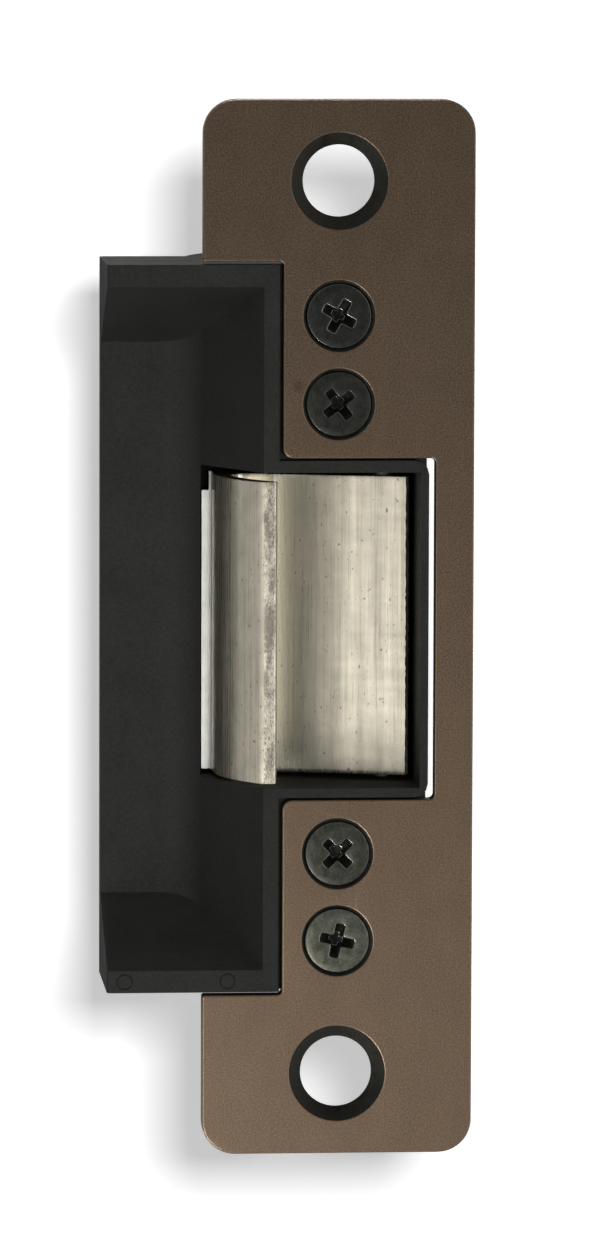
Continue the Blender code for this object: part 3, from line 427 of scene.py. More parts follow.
def drawn_metal(name, colour, roughness, lines, pits=0.0, contrast=0.18, brushed=0.0, painted_sheen=0.0, metallic=1.0):
    """Bare or plated metal with draw lines. Lines is the noise scale, small along the way it was drawn."""
    made, tree, shader = new_material(name)
    streaks = noise_at(tree, lines, 3.0, 0.6)
    broad = noise_at(tree, tuple(0.12 * scale for scale in lines), 2.0)
    mottle = noise_at(tree, (420, 420, 420), 4.0, 0.6)
    tone = maths(tree, "ADD", ramp(tree, streaks, 0.3, 0.7, -contrast, contrast), ramp(tree, mottle, 0.3, 0.7, 0.35, 0.65))
    tone = maths(tree, "ADD", tone, ramp(tree, broad, 0.35, 0.65, -contrast, contrast))
    shade = without_sheen = mix_colours(tree, tone, shaded(colour, 0.62), shaded(colour, 1.38))
    # Painted reflection: a near-white colour is mixed in on the keeper's pocket behind the lip and on right-facing
    # faces, and left off the lip's outer side.
    if painted_sheen:
        along = add(tree, "SeparateXYZ", Vector=scaled_place(tree, (1, 1, 1))).outputs["X"]
        shade = mix_colours(tree, ramp(tree, along, -12.4 * MM, -7.5 * MM, painted_sheen, 0.0), shade, (1.0, 0.96, 0.82, 1.0))
        facing = add(tree, "SeparateXYZ", Vector=add(tree, "NewGeometry").outputs["Normal"]).outputs["X"]
        sheen_mask = maths(tree, "MAXIMUM", ramp(tree, along, -13.4 * MM, -13.2 * MM, 0.0, 1.0), ramp(tree, facing, 0.1, 0.3, 0.0, 1.0))
        shade = mix_colours(tree, sheen_mask, without_sheen, shade)
        # A band across the middle of the pocket is made darker.
        darker_middle = ramp(tree, along, -6.4 * MM, -4.4 * MM, 0.24, 0.0)
        darker_middle = maths(tree, "MULTIPLY", darker_middle, ramp(tree, along, -12.5 * MM, -8.5 * MM, 0.0, 1.0))
        shade = mix_colours(tree, darker_middle, shade, (0.0, 0.0, 0.0, 1.0))
    if pits:
        specks = noise_at(tree, (2300, 2300, 1700), 1.0)
        shade = mix_colours(tree, ramp(tree, specks, 0.70, 0.76, 0.0, pits), shade, shaded(colour, 0.25))
    wire_up(tree, shader, "Base Color", shade)
    if brushed:
        tangent = add(tree, "Tangent")
        tangent.direction_type = "RADIAL"
        tangent.axis = "Z"
        wire_up(tree, shader, "Tangent", tangent.outputs["Tangent"])
        wire_up(tree, shader, "Anisotropic", brushed)
    wire_up(tree, shader, "Metallic", metallic)
    wire_up(tree, shader, "Roughness", ramp(tree, streaks, 0.3, 0.7, roughness * 0.8, roughness * 1.25))
    wire_up(tree, shader, "Normal", bump(tree, streaks, 0.3, 0.012 * MM))
    return made


def black_zinc(name, colour, roughness):
    """Black zinc plating: olive-black, patchy, with a soft shine."""
    made, tree, shader = new_material(name)
    patches = noise_at(tree, (900, 900, 900), 5.0, 0.7)
    grain = noise_at(tree, (4200, 4200, 4200), 2.0)
    tone = maths(tree, "ADD", ramp(tree, patches, 0.3, 0.7, 0.2, 0.8), ramp(tree, grain, 0.3, 0.7, -0.2, 0.2))
    wire_up(tree, shader, "Base Color", mix_colours(tree, tone, shaded(colour, 0.5), shaded(colour, 1.6)))
    wire_up(tree, shader, "Metallic", 0.85)
    wire_up(tree, shader, "Roughness", ramp(tree, patches, 0.3, 0.7, roughness * 0.8, roughness * 1.3))
    wire_up(tree, shader, "Normal", bump(tree, grain, 0.3, 0.01 * MM))
    return made


def moulded(name, colour, roughness, glow=0.0):
    """Moulded or extruded plastic or rubber with a faint orange-peel surface."""
    made, tree, shader = new_material(name)
    peel = noise_at(tree, (1500, 1500, 1500), 3.0)
    flow = noise_at(tree, (220, 220, 220), 2.0)
    tone = maths(tree, "ADD", ramp(tree, peel, 0.3, 0.7, -0.1, 0.1), ramp(tree, flow, 0.3, 0.7, 0.3, 0.7))
    wire_up(tree, shader, "Base Color", mix_colours(tree, tone, shaded(colour, 0.85), shaded(colour, 1.12)))
    wire_up(tree, shader, "Roughness", ramp(tree, flow, 0.3, 0.7, roughness * 0.9, roughness * 1.15))
    wire_up(tree, shader, "Normal", bump(tree, peel, 0.2, 0.02 * MM))
    wire_up(tree, shader, "Subsurface Weight", glow)
    shader.inputs["Subsurface Radius"].default_value = (0.8 * MM, 0.7 * MM, 0.5 * MM)
    return made


def enamelled_wire():
    made, tree, shader = new_material("copper_winding")
    turns = noise_at(tree, (300, 300, 2500), 2.0)
    wire_up(tree, shader, "Base Color", mix_colours(tree, turns, shaded(COPPER, 0.7), shaded(COPPER, 1.3)))
    wire_up(tree, shader, "Metallic", 0.9)
    wire_up(tree, shader, "Roughness", ramp(tree, turns, 0.3, 0.7, 0.22, 0.34))
    wire_up(tree, shader, "Coat Weight", 0.6)
    wire_up(tree, shader, "Coat Tint", (1.0, 0.62, 0.4, 1.0))
    return made


BRONZE = (0.124, 0.086, 0.056)
STAIN = (-4.8 * MM, 0, 28.5 * MM)
CASTING = (0.0240, 0.0240, 0.0222)
STAINLESS = (0.58, 0.535, 0.43)
STEEL = (0.42, 0.42, 0.41)
ZINC = (0.60, 0.61, 0.60)
COPPER = (0.62, 0.22, 0.08)

finish = {
    "bronze_finish": bronze(),
    "black_die_casting": die_casting(),
    # The stainless sheet carries a near-white painted reflection on its pocket behind the lip.
    "stainless_sheet": drawn_metal("stainless_sheet", STAINLESS, 0.29, (5200, 5200, 70), 0.8, brushed=0.2, painted_sheen=0.9),
    "cut_edge": drawn_metal("cut_edge", shaded(STAINLESS, 0.95)[:3], 0.3, (6500, 6500, 2600), 0.7, 0.75, metallic=0.8),
    # A painted highlight: near-white and not metallic, for the keeper foot's front strip that reflects the light.
    "foot_painted_highlight": drawn_metal("foot_painted_highlight", (0.93, 0.925, 0.89), 0.4, (2500, 2500, 300), 0.0, 0.08, metallic=0.0),
    "black_zinc": black_zinc("black_zinc", (0.030, 0.032, 0.027), 0.38),
    "worn_zinc": black_zinc("worn_zinc", (0.15, 0.155, 0.14), 0.2),
    "steel": drawn_metal("steel", STEEL, 0.32, (900, 900, 5200)),
    "spring_steel": drawn_metal("spring_steel", shaded(STEEL, 0.85)[:3], 0.26, (2500, 2500, 2500)),
    "zinc_plated_steel": drawn_metal("zinc_plated_steel", ZINC, 0.36, (2600, 2600, 140), 0.3),
    "copper_winding": enamelled_wire(),
    "white_nylon": moulded("white_nylon", (0.70, 0.68, 0.62), 0.42, 0.25),
    "black_rubber": moulded("black_rubber", (0.018, 0.018, 0.018), 0.68),
    "red_insulation": moulded("red_insulation", (0.42, 0.016, 0.014), 0.36),
    "black_insulation": moulded("black_insulation", (0.016, 0.016, 0.017), 0.36),
}


# ---------------------------------------------------------------- faceplate and its screws

def faceplate():
    """The bronze plate: ears, notch for the lip cavity, opening for the keeper, and near-black countersinks."""
    half_w, half_h = PLATE_HIGH.x, PLATE_HIGH.z
    notch_x, opening_x = NOTCH_X, OPENING_X
    notch_z, opening_z = BODY_HIGH.z + 0.35 * MM, OPENING_Z
    rim = [(half_w, half_h), (-half_w, half_h), (-half_w, notch_z), (notch_x, notch_z),
           (notch_x, opening_z), (opening_x, opening_z), (opening_x, -opening_z), (notch_x, -opening_z),
           (notch_x, -notch_z), (-half_w, -notch_z), (-half_w, -half_h), (half_w, -half_h)]
    corner, notch, tongue, opening = 3.9 * MM, 0.5 * MM, 1.2 * MM, 0.6 * MM
    radii = [corner, corner, 0.3 * MM, notch, tongue, opening, opening, tongue, notch, 0.3 * MM, corner, corner]
    holes = []
    for z in (MOUNT_HOLE_Z, -MOUNT_HOLE_Z):
        holes.append((0, z, countersink(5.65 * MM, 4.2 * MM), 96))
    for z in SCREW_HEIGHTS:
        holes.append((0, z, countersink(4.2 * MM, 2.35 * MM), 72))
    shape = evenly_shaded(plate_mesh("faceplate_bronze", rounded(rim, radii), holes, PLATE_THICKNESS, 0.22 * MM))
    for face in shape.polygons:
        middle = face.center
        wall = abs(face.normal.y) < 0.95
        if wall and abs(middle.x) < 5.6 * MM and any(math.hypot(middle.x, middle.z - z) < 5.62 * MM
                                                     for z in (MOUNT_HOLE_Z, -MOUNT_HOLE_Z)):
            face.material_index = 1
        if wall and any(math.hypot(middle.x, middle.z - z) < 4.17 * MM for z in SCREW_HEIGHTS):
            face.material_index = 1
    piece("faceplate_bronze", shape, [finish["bronze_finish"], finish["black_sink"]], "case", ["faceplate"],
          (0, PLATE_FRONT, 0))


def countersink(outer, inner):
    """Ring sections of a countersunk hole with a rounded mouth."""
    mouth = 0.14 * MM
    throat = mouth / 2 + (outer - inner) / math.tan(SINK_HALF_ANGLE)
    sections = [(outer + mouth, 0), (outer + 0.35 * mouth, 0.12 * mouth), (outer, 0.5 * mouth)]
    if throat < PLATE_THICKNESS - 0.2 * MM:
        sections += [(inner, throat), (inner, PLATE_THICKNESS - 0.1 * MM), (inner + 0.1 * MM, PLATE_THICKNESS)]
    else:
        reach = outer - (PLATE_THICKNESS - 0.5 * mouth) * math.tan(SINK_HALF_ANGLE)
        sections += [(reach, PLATE_THICKNESS)]
    return sections


def cross_recess(reach, half_width, depth):
    """The tapered four-armed recess, with a cone at its centre, pointing along +Y from the head's top."""
    bm = bmesh.new()
    rings = []
    for height, share, narrow in ((-0.4 * MM, 1.18, 1.12), (0.35 * depth, 0.88, 0.85), (depth, 0.42, 0.6)):
        ring = []
        for quarter in range(4):
            spin = Matrix.Rotation(math.radians(90 * quarter), 2)
            tip, side = reach * share, half_width * narrow
            arm = [(tip - 0.25 * side, -side), (tip, -0.6 * side), (tip, 0.6 * side), (tip - 0.25 * side, side),
                   (1.5 * side, side), (side * 1.12, side * 1.12), (side, 1.5 * side)]
            for point in arm:
                x, z = spin @ Vector(point)
                ring.append(bm.verts.new((x, height, z)))
        rings.append(ring)
    for lower, upper in zip(rings, rings[1:]):
        bridge(bm, lower, upper)
    bm.faces.new(rings[0])
    bm.faces.new(rings[-1])
    return new_mesh(bm, "cross_recess", 20)


def faceplate_screws():
    """Black zinc flat-heads. Each cross recess stands at its own angle, and each head shows its own wear."""
    land, rim = 0.32 * MM, 0.1 * MM
    for number, (z, degrees) in enumerate(zip(SCREW_HEIGHTS, SCREW_TURNS), 1):
        node = f"faceplate_screw_{number}"
        low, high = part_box(node)
        radius, length = (high.x - low.x) / 2, high.y - low.y
        shank = 2.05 * MM
        neck = land + (radius - shank) / math.tan(SINK_HALF_ANGLE)
        dome = [(radius * share, 0.05 * MM * share ** 2) for share in (0, 0.5, 0.8)]
        head = dome + [(radius - rim, 0.06 * MM), (radius - 0.3 * rim, 0.06 * MM + 0.3 * rim), (radius, 0.06 * MM + rim),
                       (radius, land), (shank, neck)]
        thread = []
        pitch = 0.8 * MM
        turns = int((length - neck - 0.6 * MM) / pitch)
        for turn in range(turns):
            start = neck + turn * pitch
            thread += [(shank - 0.28 * MM, start + 0.25 * pitch), (shank - 0.05 * MM, start + 0.6 * pitch),
                       (shank - 0.05 * MM, start + 0.75 * pitch)]
        tail = [(shank - 0.3 * MM, length - 0.4 * MM), (shank - 0.6 * MM, length), (0, length)]
        shape = turned_mesh(node, head + thread + tail, 72)
        turn = Matrix.Rotation(-math.radians(degrees), 4, "Y")
        recess = slotted(cross_recess(1.95 * MM, 0.56 * MM, 2.2 * MM), 3)
        for face in recess.polygons:
            face.material_index = 2
        cut = combined(slotted(shape, 3), recess, "DIFFERENCE", turn)
        shape = softened(slotted(cleaned(cut, 0.3), 3), 0.05 * MM, 2, 38, 1)
        finishes = [finish[f"black_zinc_{number}"], finish["worn_zinc"], finish["black_sink"]]
        piece(node + "_head", shape, finishes, "case", [node], (0, low.y, z))


# ---------------------------------------------------------------- case

def strike_casting():
    """The die-cast case, its edges rounded, with the two ejector marks on the lower rim."""
    shape = softened(cleaned(nodes["strike_body"].data.copy(), 0.5), 0.4 * MM, 4, 30)
    for x in EJECTOR_X:
        ring = turned_mesh("ejector_mark", [(0.74 * MM, -0.3 * MM), (1.0 * MM, -0.3 * MM), (0.95 * MM, 0.3 * MM),
                                            (0.79 * MM, 0.3 * MM)], 40)
        place = Matrix.Translation((x, PLATE_FRONT, -EJECTOR_Z))
        shape = combined(shape, ring, "DIFFERENCE", place)
    shape.shade_smooth()
    shape.set_sharp_from_angle(angle=math.radians(40))
    shape = evenly_shaded(shape)
    piece("strike_casting", shape, [finish["black_die_casting"]], "case", ["strike_body"])


NOTCH_X = -6.5 * MM
OPENING_X = 11.36 * MM
OPENING_Z = 20.05 * MM
MOUNT_HOLE_Z = 52.4 * MM
SCREW_HEIGHTS = [sum(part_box(f"faceplate_screw_{number}")[i].z for i in (0, 1)) / 2 for number in (1, 2, 3, 4)]
SCREW_TURNS = (61, 38, 45, 77)
EJECTOR_X = (-25.0 * MM, -12.9 * MM)
EJECTOR_Z = 41.35 * MM

finish["black_sink"] = black_zinc("black_sink", (0.018, 0.0175, 0.014), 0.6)
for number, tint in enumerate(((0.020, 0.021, 0.019), (0.023, 0.024, 0.020), (0.042, 0.042, 0.034),
                               (0.075, 0.077, 0.058)), 1):
    finish[f"black_zinc_{number}"] = black_zinc(f"black_zinc_{number}", tint, 0.40)


# ---------------------------------------------------------------- keeper

def keeper_sheet_section():
    """Lip, pocket floor and foot in section, from the pivot, with the sheet's edges just broken."""
    low_x = KEEPER_LOW.x - KEEPER_PIVOT.x
    tip = PLATE_FRONT - KEEPER_PIVOT.y
    outer, inner = LIP_RADIUS, LIP_RADIUS - KEEPER_SHEET
    slope = Vector((-math.cos(POCKET_SLOPE), math.sin(POCKET_SLOPE)))
    normal = Vector((-slope.y, slope.x))
    pocket = Vector((POCKET_RIGHT, POCKET_DEPTH - (KEEPER_PIVOT.y - PLATE_FRONT)))
    pocket.x -= KEEPER_PIVOT.x
    under = pocket - normal * KEEPER_SHEET

    def on_lip(radius, height):
        return Vector((-math.sqrt(radius**2 - height**2), height))

    bend = 2.2 * MM
    offset = pocket + normal * bend
    reach = inner - bend
    run = -offset.dot(slope) + math.sqrt(offset.dot(slope) ** 2 - offset.length_squared + reach**2)
    centre = offset + slope * run
    start = math.degrees(math.atan2(-normal.y, -normal.x))
    end = math.degrees(math.atan2(centre.y, centre.x)) % 360
    start -= 360 if start > end else 0
    points = [pocket] + arc(centre, bend, start, end, 10)
    fall, edge, fillet = 0.55 * MM, 0.22 * MM, 0.26 * MM
    inner_tip = on_lip(inner, tip + fall)
    points += arc((0, 0), inner, end, math.degrees(math.atan2(inner_tip.y, inner_tip.x)) % 360, 24)[1:]
    points += [inner_tip + Vector((-0.12 * fall, -0.5 * fall)), inner_tip + Vector((-0.42 * fall, -0.88 * fall)),
               inner_tip + Vector((-0.8 * fall, -fall))]
    points.append(on_lip(outer, tip) + Vector((edge, 0)))
    first, last = on_lip(outer, tip + edge), on_lip(outer, FOOT_DEPTH - (KEEPER_PIVOT.y - PLATE_FRONT) - fillet)
    points += arc((0, 0), outer, math.degrees(math.atan2(first.y, first.x)) % 360,
                  math.degrees(math.atan2(last.y, last.x)) % 360, 36)
    foot_top = FOOT_DEPTH - (KEEPER_PIVOT.y - PLATE_FRONT)
    points += arc((last.x - fillet, foot_top - fillet), fillet, 0, 90, 6)[1:]
    groove = last.x - fillet
    points += [Vector((groove - 0.02 * MM, foot_top + 0.4 * MM)), Vector((groove - 0.18 * MM, foot_top + 0.4 * MM)),
               Vector((groove - 0.2 * MM, foot_top)), Vector((low_x, foot_top + 0.3 * MM))]
    points.append(under + slope * (low_x - under.x) / slope.x)
    points.append(under)
    return points


LIP_RADIUS = 20.5 * MM
POCKET_RIGHT = 8.55 * MM
POCKET_DEPTH = 7.6 * MM
POCKET_SLOPE = math.atan2(5.8, 18.05)
FOOT_DEPTH = 15.6 * MM
LUG_HEIGHT = 2.4 * MM
EAR = 1.6 * MM


def signed_area(outline):
    return sum(a.cross(b) for a, b in zip(outline, outline[1:] + outline[:1])) / 2


def convex_prism(name, outline, low, high):
    """The convex shape round a set of points in X and Y, from low to high in Z."""
    bm = bmesh.new()
    for z in (low, high):
        for x, y in outline:
            bm.verts.new((x, y, z))
    hull = bmesh.ops.convex_hull(bm, input=bm.verts)
    spare = [item for item in hull["geom_interior"] if isinstance(item, bmesh.types.BMVert)]
    bmesh.ops.delete(bm, geom=spare, context="VERTS")
    return new_mesh(bm, name)


def keeper_sheet(low, high):
    """The bent sheet, in short lengths so that its sheared edges can waver."""
    section = keeper_sheet_section()
    if signed_area(section) < 0:
        section.reverse()
    corner = min(range(len(section)), key=lambda i: (section[i] - section[i - 1]).length < 0.9 * MM)
    chance = random.Random(7)
    ends = edge_round(0.14 * MM, 3)
    count = round((high - low) / (0.4 * MM))
    middle = [(0.0, low + 0.14 * MM + (high - low - 0.28 * MM) * i / count) for i in range(1, count)]
    stations = [(gap, low + depth) for gap, depth in ends] + middle
    stations += [(gap, high - depth) for gap, depth in reversed(ends)]
    tip = PLATE_FRONT - KEEPER_PIVOT.y
    right = max(point.x for point in section)
    bm = bmesh.new()
    rings = []
    for gap, z in stations:
        ring = []
        for point in inset(section, gap) if gap else section:
            burr = 0.0
            if point.y < tip + 0.55 * MM and point.x < -14.6 * MM:
                burr = chance.uniform(-0.05, 0.05) * MM
            if point.x > right - 0.7 * MM:
                burr = chance.uniform(-0.05, 0.04) * MM
            ring.append(bm.verts.new((point.x + burr, point.y, z)))
        rings.append(ring)
    for lower, upper in zip(rings, rings[1:]):
        bridge(bm, lower, upper)
    bm.faces.new(rings[0])
    bm.faces.new(rings[-1])
    bmesh.ops.recalc_face_normals(bm, faces=bm.faces)
    for face in bm.faces:
        middle = face.calc_center_median()
        cut_tip = face.normal.y < -0.8 and middle.y < tip + 0.1 * MM
        cut_side = face.normal.x > 0.8 and middle.x > right - 0.8 * MM
        cut_foot = face.normal.x < -0.9 and middle.y > FOOT_DEPTH - (KEEPER_PIVOT.y - PLATE_FRONT)
        face.material_index = 1 if cut_tip or cut_side or cut_foot else 0
        # The foot's front-facing strip gets the near-white painted highlight.
        if middle.y > FOOT_DEPTH - (KEEPER_PIVOT.y - PLATE_FRONT) - 0.3 * MM and face.normal.y < -0.3 and middle.x < -19 * MM:
            face.material_index = 2
    return slotted(new_mesh(bm, "keeper_sheet", 30), 3)


def keeper():
    low, high = KEEPER_LOW.z + LUG_HEIGHT, KEEPER_HIGH.z
    shape = keeper_sheet(low, high)
    foot = KEEPER_LOW.x - KEEPER_PIVOT.x
    trim = [(foot - 1 * MM, 0.3 * MM), (foot + 0.85 * MM, 0.3 * MM), (foot + 0.85 * MM, 5 * MM), (foot - 1 * MM, 5 * MM)]
    shape = combined(shape, convex_prism("foot_end", trim, FOOT_TOP_Z, high + 1 * MM), "DIFFERENCE")
    bore_side = arc((0, 0), 2.75 * MM, 0, 350, 35)
    foot_side = [(1.0 * MM, -3.9 * MM), (-17.0 * MM, 2.0 * MM)]
    lug_side = [(-17.4 * MM, 4.4 * MM), (-14.0 * MM, 4.9 * MM)]
    ears = [(bore_side + foot_side + lug_side, low + 0.05 * MM, low + EAR), (bore_side + foot_side, high - EAR, high - 0.05 * MM)]
    for outline, bottom, top in ears:
        ear = softened(convex_prism("ear", outline, bottom, top), 0.12 * MM, 2)
        shape = combined(shape, ear, "UNION")
    lug = [(-17.2 * MM, 1.8 * MM), (-14.2 * MM, 1.8 * MM), (-14.2 * MM, 4.6 * MM), (-17.2 * MM, 4.6 * MM)]
    lug = softened(convex_prism("lug", lug, low - LUG_HEIGHT, low + 0.5 * MM), 0.2 * MM, 2)
    shape = combined(shape, lug, "UNION")
    bore = turned_mesh("pin_bore", [(0, low - 1 * MM), (1.6 * MM, low - 1 * MM), (1.6 * MM, high + 1 * MM), (0, high + 1 * MM)],
                       48, "Z")
    shape = combined(shape, bore, "DIFFERENCE")
    shape.shade_smooth()
    shape.set_sharp_from_angle(angle=math.radians(30))
    piece("keeper_steel", shape, [finish["stainless_sheet"], finish["cut_edge"], finish["foot_painted_highlight"]], "keeper", ["keeper"],
          (KEEPER_PIVOT.x, KEEPER_PIVOT.y, 0))


FOOT_TOP_Z = 15.1 * MM


# ---------------------------------------------------------------- springs and coil

def coil_path(radius, low, high, turns, per_turn, way=1):
    """Points up a helix about Z that starts on +X and turns left, or right where way is -1."""
    count = round(turns * per_turn)
    path = []
    for i in range(count + 1):
        turn = way * math.tau * turns * i / count
        path.append(Vector((radius * math.cos(turn), radius * math.sin(turn), low + (high - low) * i / count)))
    return path


def keeper_spring():
    """Torsion spring round the pin: its lower leg bears on the case's side wall, its upper one on the keeper's pocket.
    """
    low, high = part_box("keeper_spring")
    wire, radius = 0.34 * MM, 2.25 * MM
    bottom, top = low.z + wire, high.z - wire
    leg = [(radius + 0.1 * MM, 7.9 * MM, bottom), (radius + 0.05 * MM, 4 * MM, bottom), (radius, 1.0 * MM, bottom)]
    turns = 8 + (math.pi / 2 + POCKET_SLOPE) / math.tau
    coil = coil_path(radius, bottom, top, turns, 40, -1)
    along = Vector((-math.cos(POCKET_SLOPE), math.sin(POCKET_SLOPE), 0))
    towards = Vector((-along.y, along.x, 0))
    arm = [coil[-1] + along * 1.0 * MM, coil[-1] + along * 3.5 * MM + towards * 0.15 * MM,
           coil[-1] + along * 6.5 * MM + towards * 0.3 * MM]
    path = leg + coil + arm
    path = [Vector(point) + Vector((KEEPER_PIVOT.x, KEEPER_PIVOT.y, 0)) for point in path]
    spring = piece("keeper_spring_wire", tube_mesh("keeper_spring_wire", path, wire, 12), [finish["spring_steel"]], None,
                   ["keeper_spring"])
    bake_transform(spring)


def plunger_spring():
    low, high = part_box("plunger_spring")
    wire = 0.22 * MM
    centre = (low + high) / 2
    path = coil_path(1.2 * MM, low.z + wire, high.z - wire, 7, 32)
    path = [point + Vector((centre.x, centre.y, 0)) for point in path]
    spring = piece("plunger_spring_wire", tube_mesh("plunger_spring_wire", path, wire, 10), [finish["spring_steel"]],
                   "case", ["plunger_spring"])
    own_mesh(spring)


def winding():
    """The coil, its outside ribbed by the turns of wire."""
    low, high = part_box("solenoid_winding")
    centre = (low + high) / 2
    outer = (high.x - low.x) / 2
    inner, wire = 3.45 * MM, 0.16 * MM
    turns = int((high.z - low.z) / (2 * wire))
    profile = [(inner, low.z), (outer - wire, low.z)]
    pitch = (high.z - low.z) / turns
    for turn in range(turns):
        for share, out in ((0.12, 0.55), (0.5, 1.0), (0.88, 0.55)):
            profile.append((outer - wire + wire * out, low.z + (turn + share) * pitch))
        profile.append((outer - wire, low.z + (turn + 1) * pitch))
    profile.append((inner, high.z))
    shape = turned_mesh("coil_wire", profile, 64, "Z")
    piece("coil_wire", shape, [finish["copper_winding"]], "case", ["solenoid_winding"], (centre.x, centre.y, 0))


# ---------------------------------------------------------------- pieces that keep their CAD shape, with rounded edges

ROUNDED = {
    "back_cover": 0.2, "keeper_pin": 0.08, "keeper_pin_clip": 0.06, "locking_lever": 0.15, "lever_pin": 0.08,
    "link_pin": 0.05, "solenoid_plunger": 0.12, "solenoid_core": 0.1, "solenoid_frame": 0.15,
    "solenoid_bobbin": 0.12, "solenoid_screw_1": 0.08, "solenoid_screw_2": 0.08, "lead_plug": 0.2,
    "lead_grommet": 0.25, "back_cover_screw_1": 0.05, "back_cover_screw_2": 0.05, "back_cover_screw_3": 0.05,
    "back_cover_screw_4": 0.05,
}


def rounded_nodes():
    slot_of = {part["node"]: part["material_slot"] for part in frame["record"]["subparts"]}
    body_of = {node: body for body, names in frame["record"]["behaviour"]["bodies"].items() for node in names}
    for node, width in ROUNDED.items():
        shape = evenly_shaded(softened(cleaned(nodes[node].data.copy()), width * MM, 2))
        slot = slot_of[node]
        piece(node + "_rounded", shape, [finish[slot]], body_of[node], [node])


def leads():
    """The two leads as smooth insulated wire, re-drawn round the middle line of their CAD nodes."""
    for node, slot in (("lead_red", "red_insulation"), ("lead_black", "black_insulation")):
        base = nodes[node].data
        sides = 8
        points = [vert.co for vert in cleaned(base.copy(), 0.01).vertices]
        order = sorted(points, key=lambda point: -point.z)
        rings = [order[i:i + sides] for i in range(0, len(order) - sides + 1, sides)]
        path = [sum(ring, Vector()) / len(ring) for ring in rings]
        smooth = path[:1]
        for a, b in zip(path, path[1:]):
            if (b - smooth[-1]).length > 0.4 * MM:
                smooth.append(b)
        piece(node + "_wire", tube_mesh(node, smooth, 0.58 * MM, 20), [finish[slot]], "case", [node])


# ---------------------------------------------------------------- studio

def backdrop():
    """White paper just behind the back cover. From behind, and from the cover itself, it is clear."""
    bm = bmesh.new()
    bm.faces.new([bm.verts.new((x, 0, z)) for x, z in ((-1.5, -1.5), (1.5, -1.5), (1.5, 1.5), (-1.5, 1.5))])
    shape = bpy.data.meshes.new("backdrop")
    bm.to_mesh(shape)
    bm.free()
    made, tree, shader = new_material("paper")
    path = add(tree, "LightPath")
    seen = path.outputs["Is Camera Ray"]
    tone = mix_colours(tree, path.outputs["Is Glossy Ray"], shaded((1, 1, 1), PAPER_DIFFUSE), shaded((1, 1, 1), PAPER_GLOSSY))
    wire_up(tree, shader, "Base Color", mix_colours(tree, seen, tone, shaded((1, 1, 1), 0.9)))
    wire_up(tree, shader, "Roughness", 1.0)
    wire_up(tree, shader, "Specular IOR Level", 0.0)
    wire_up(tree, shader, "Emission Color", (1, 1, 1, 1))
    wire_up(tree, shader, "Emission Strength", maths(tree, "MULTIPLY", seen, PAPER_GLOW))
    clear = add(tree, "BsdfTransparent")
    close = maths(tree, "LESS_THAN", path.outputs["Ray Length"], 4 * MM)
    close = maths(tree, "MULTIPLY", close, maths(tree, "SUBTRACT", 1.0, seen))
    away = add(tree, "NewGeometry").outputs["Backfacing"]
    mixed = add(tree, "MixShader", Fac=maths(tree, "MAXIMUM", away, close))
    tree.links.new(shader.outputs[0], mixed.inputs[1])
    tree.links.new(clear.outputs[0], mixed.inputs[2])
    tree.links.new(mixed.outputs[0], tree.nodes["Material Output"].inputs["Surface"])
    shape.materials.append(made)
    sweep = bpy.data.objects.new("backdrop", shape)
    bpy.context.scene.collection.objects.link(sweep)
    sweep.location = (0, 0.6 * MM, 0)
    return sweep


def surroundings():
    """White to the camera; to the object, a pale tent that is dimmer round the camera and at the left."""
    world = bpy.data.worlds.new("tent")
    bpy.context.scene.world = world
    world.use_nodes = True
    tree = world.node_tree
    way = add(tree, "SeparateXYZ", Vector=add(tree, "TexCoord").outputs["Generated"])
    down = ramp(tree, way.outputs["Z"], 0.05, -0.3, TENT_FRONT, TENT_LOW)
    left = maths(tree, "MULTIPLY", ramp(tree, way.outputs["X"], -0.2, -0.46, 0.0, TENT_LEFT),
                 ramp(tree, way.outputs["X"], -0.72, -0.95, 1.0, 0.45))
    right = maths(tree, "MULTIPLY", ramp(tree, way.outputs["X"], 0.4, 0.75, 0.0, TENT_RIGHT),
                  ramp(tree, way.outputs["Y"], 0.02, 0.2, 1.0, 0.0))
    level = maths(tree, "ADD", maths(tree, "ADD", down, left), right)
    path = add(tree, "LightPath")
    level = mix_colours(tree, path.outputs["Is Glossy Ray"], shaded((1, 1, 1), TENT_DIFFUSE), level)
    level = mix_colours(tree, path.outputs["Is Camera Ray"], level, (1, 1, 1, 1))
    wire_up(tree, tree.nodes["Background"], "Color", level)


def softbox(name, place, aim, size, watts):
    data = bpy.data.lights.new(name, "AREA")
    data.shape = "RECTANGLE"
    data.size, data.size_y = size
    data.energy = watts
    lamp = bpy.data.objects.new(name, data)
    bpy.context.scene.collection.objects.link(lamp)
    lamp.location = place
    lamp.rotation_euler = (Vector(aim) - Vector(place)).to_track_quat("-Z", "Y").to_euler()
    return lamp


def lit_by(lamp, sweep, state):
    """Keeps the lamp's light on the paper alone, or off the paper alone."""
    group = bpy.data.collections.new(lamp.name + "_paper")
    group.objects.link(sweep)
    lamp.light_linking.receiver_collection = group
    group.collection_objects[0].light_linking.link_state = state


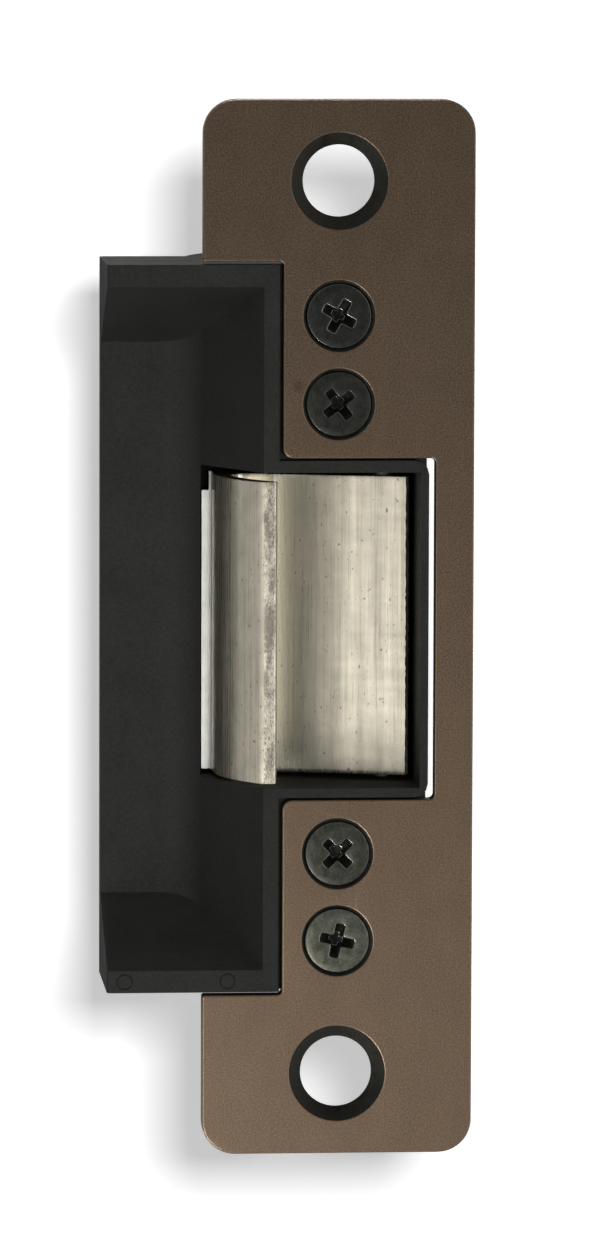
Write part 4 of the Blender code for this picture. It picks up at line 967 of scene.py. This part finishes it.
TENT_FRONT, TENT_LOW, TENT_LEFT, TENT_RIGHT, TENT_DIFFUSE = 0.42, 0.6, 0.52, 1.6, 0.11
PAPER_GLOW, PAPER_GLOSSY, PAPER_DIFFUSE = 0.49, 0.62, 0.16


def studio():
    sweep = backdrop()
    surroundings()
    key = softbox("key", (0.14, -2.0, 0.06), (0, -0.02, 0), (0.48, 0.42), 28.5)
    key.visible_glossy = False
    lit_by(key, sweep, "EXCLUDE")
    paper_key = softbox("paper_key", (0.19, -2.0, 0.5), (0, -0.02, 0), (0.48, 0.42), 32)
    paper_key.visible_glossy = False
    lit_by(paper_key, sweep, "INCLUDE")
    above = softbox("above", (-0.02, -0.015, 0.45), (-0.02, -0.02, 0.04), (0.02, 0.02), 2.5)
    lit_by(above, sweep, "EXCLUDE")
    fill = softbox("fill", (-0.09, -0.18, -0.13), (0, -0.034, -0.04), (0.08, 0.08), 0.28)
    fill.visible_diffuse = False
    glint = softbox("glint", (-0.3, -0.42, -0.4), (0, -0.034, 0), (0.1, 0.1), 2.0)
    glint.visible_diffuse = False
    for side in (-1, 1):
        rear = softbox("rear", (0.6 * side, 0.8, 0.45), (0, -0.02, 0), (0.5, 0.5), 3.5)
        lit_by(rear, sweep, "EXCLUDE")
    camera = bpy.data.cameras.new("camera")
    camera.lens = 229.3
    camera.sensor_width = 36
    camera.clip_start, camera.clip_end = 0.05, 20
    view = bpy.data.objects.new("camera", camera)
    bpy.context.scene.collection.objects.link(view)
    right = Vector((0.99713, -0.07577, 0.00296))
    ahead = Vector((0.07568, 0.99202, -0.10077)).normalized()
    up = right.cross(ahead)
    view.matrix_world = Matrix.Translation((-0.07575, PLATE_FRONT - 0.92715, 0.09441)) @ Matrix(
        (right, up, -ahead)).transposed().to_4x4()
    bpy.context.scene.camera = view
    bpy.context.scene.view_settings.view_transform = "Standard"


# ---------------------------------------------------------------- the scene

faceplate()
faceplate_screws()
strike_casting()
keeper()
keeper_spring()
plunger_spring()
winding()
rounded_nodes()
leads()
studio()
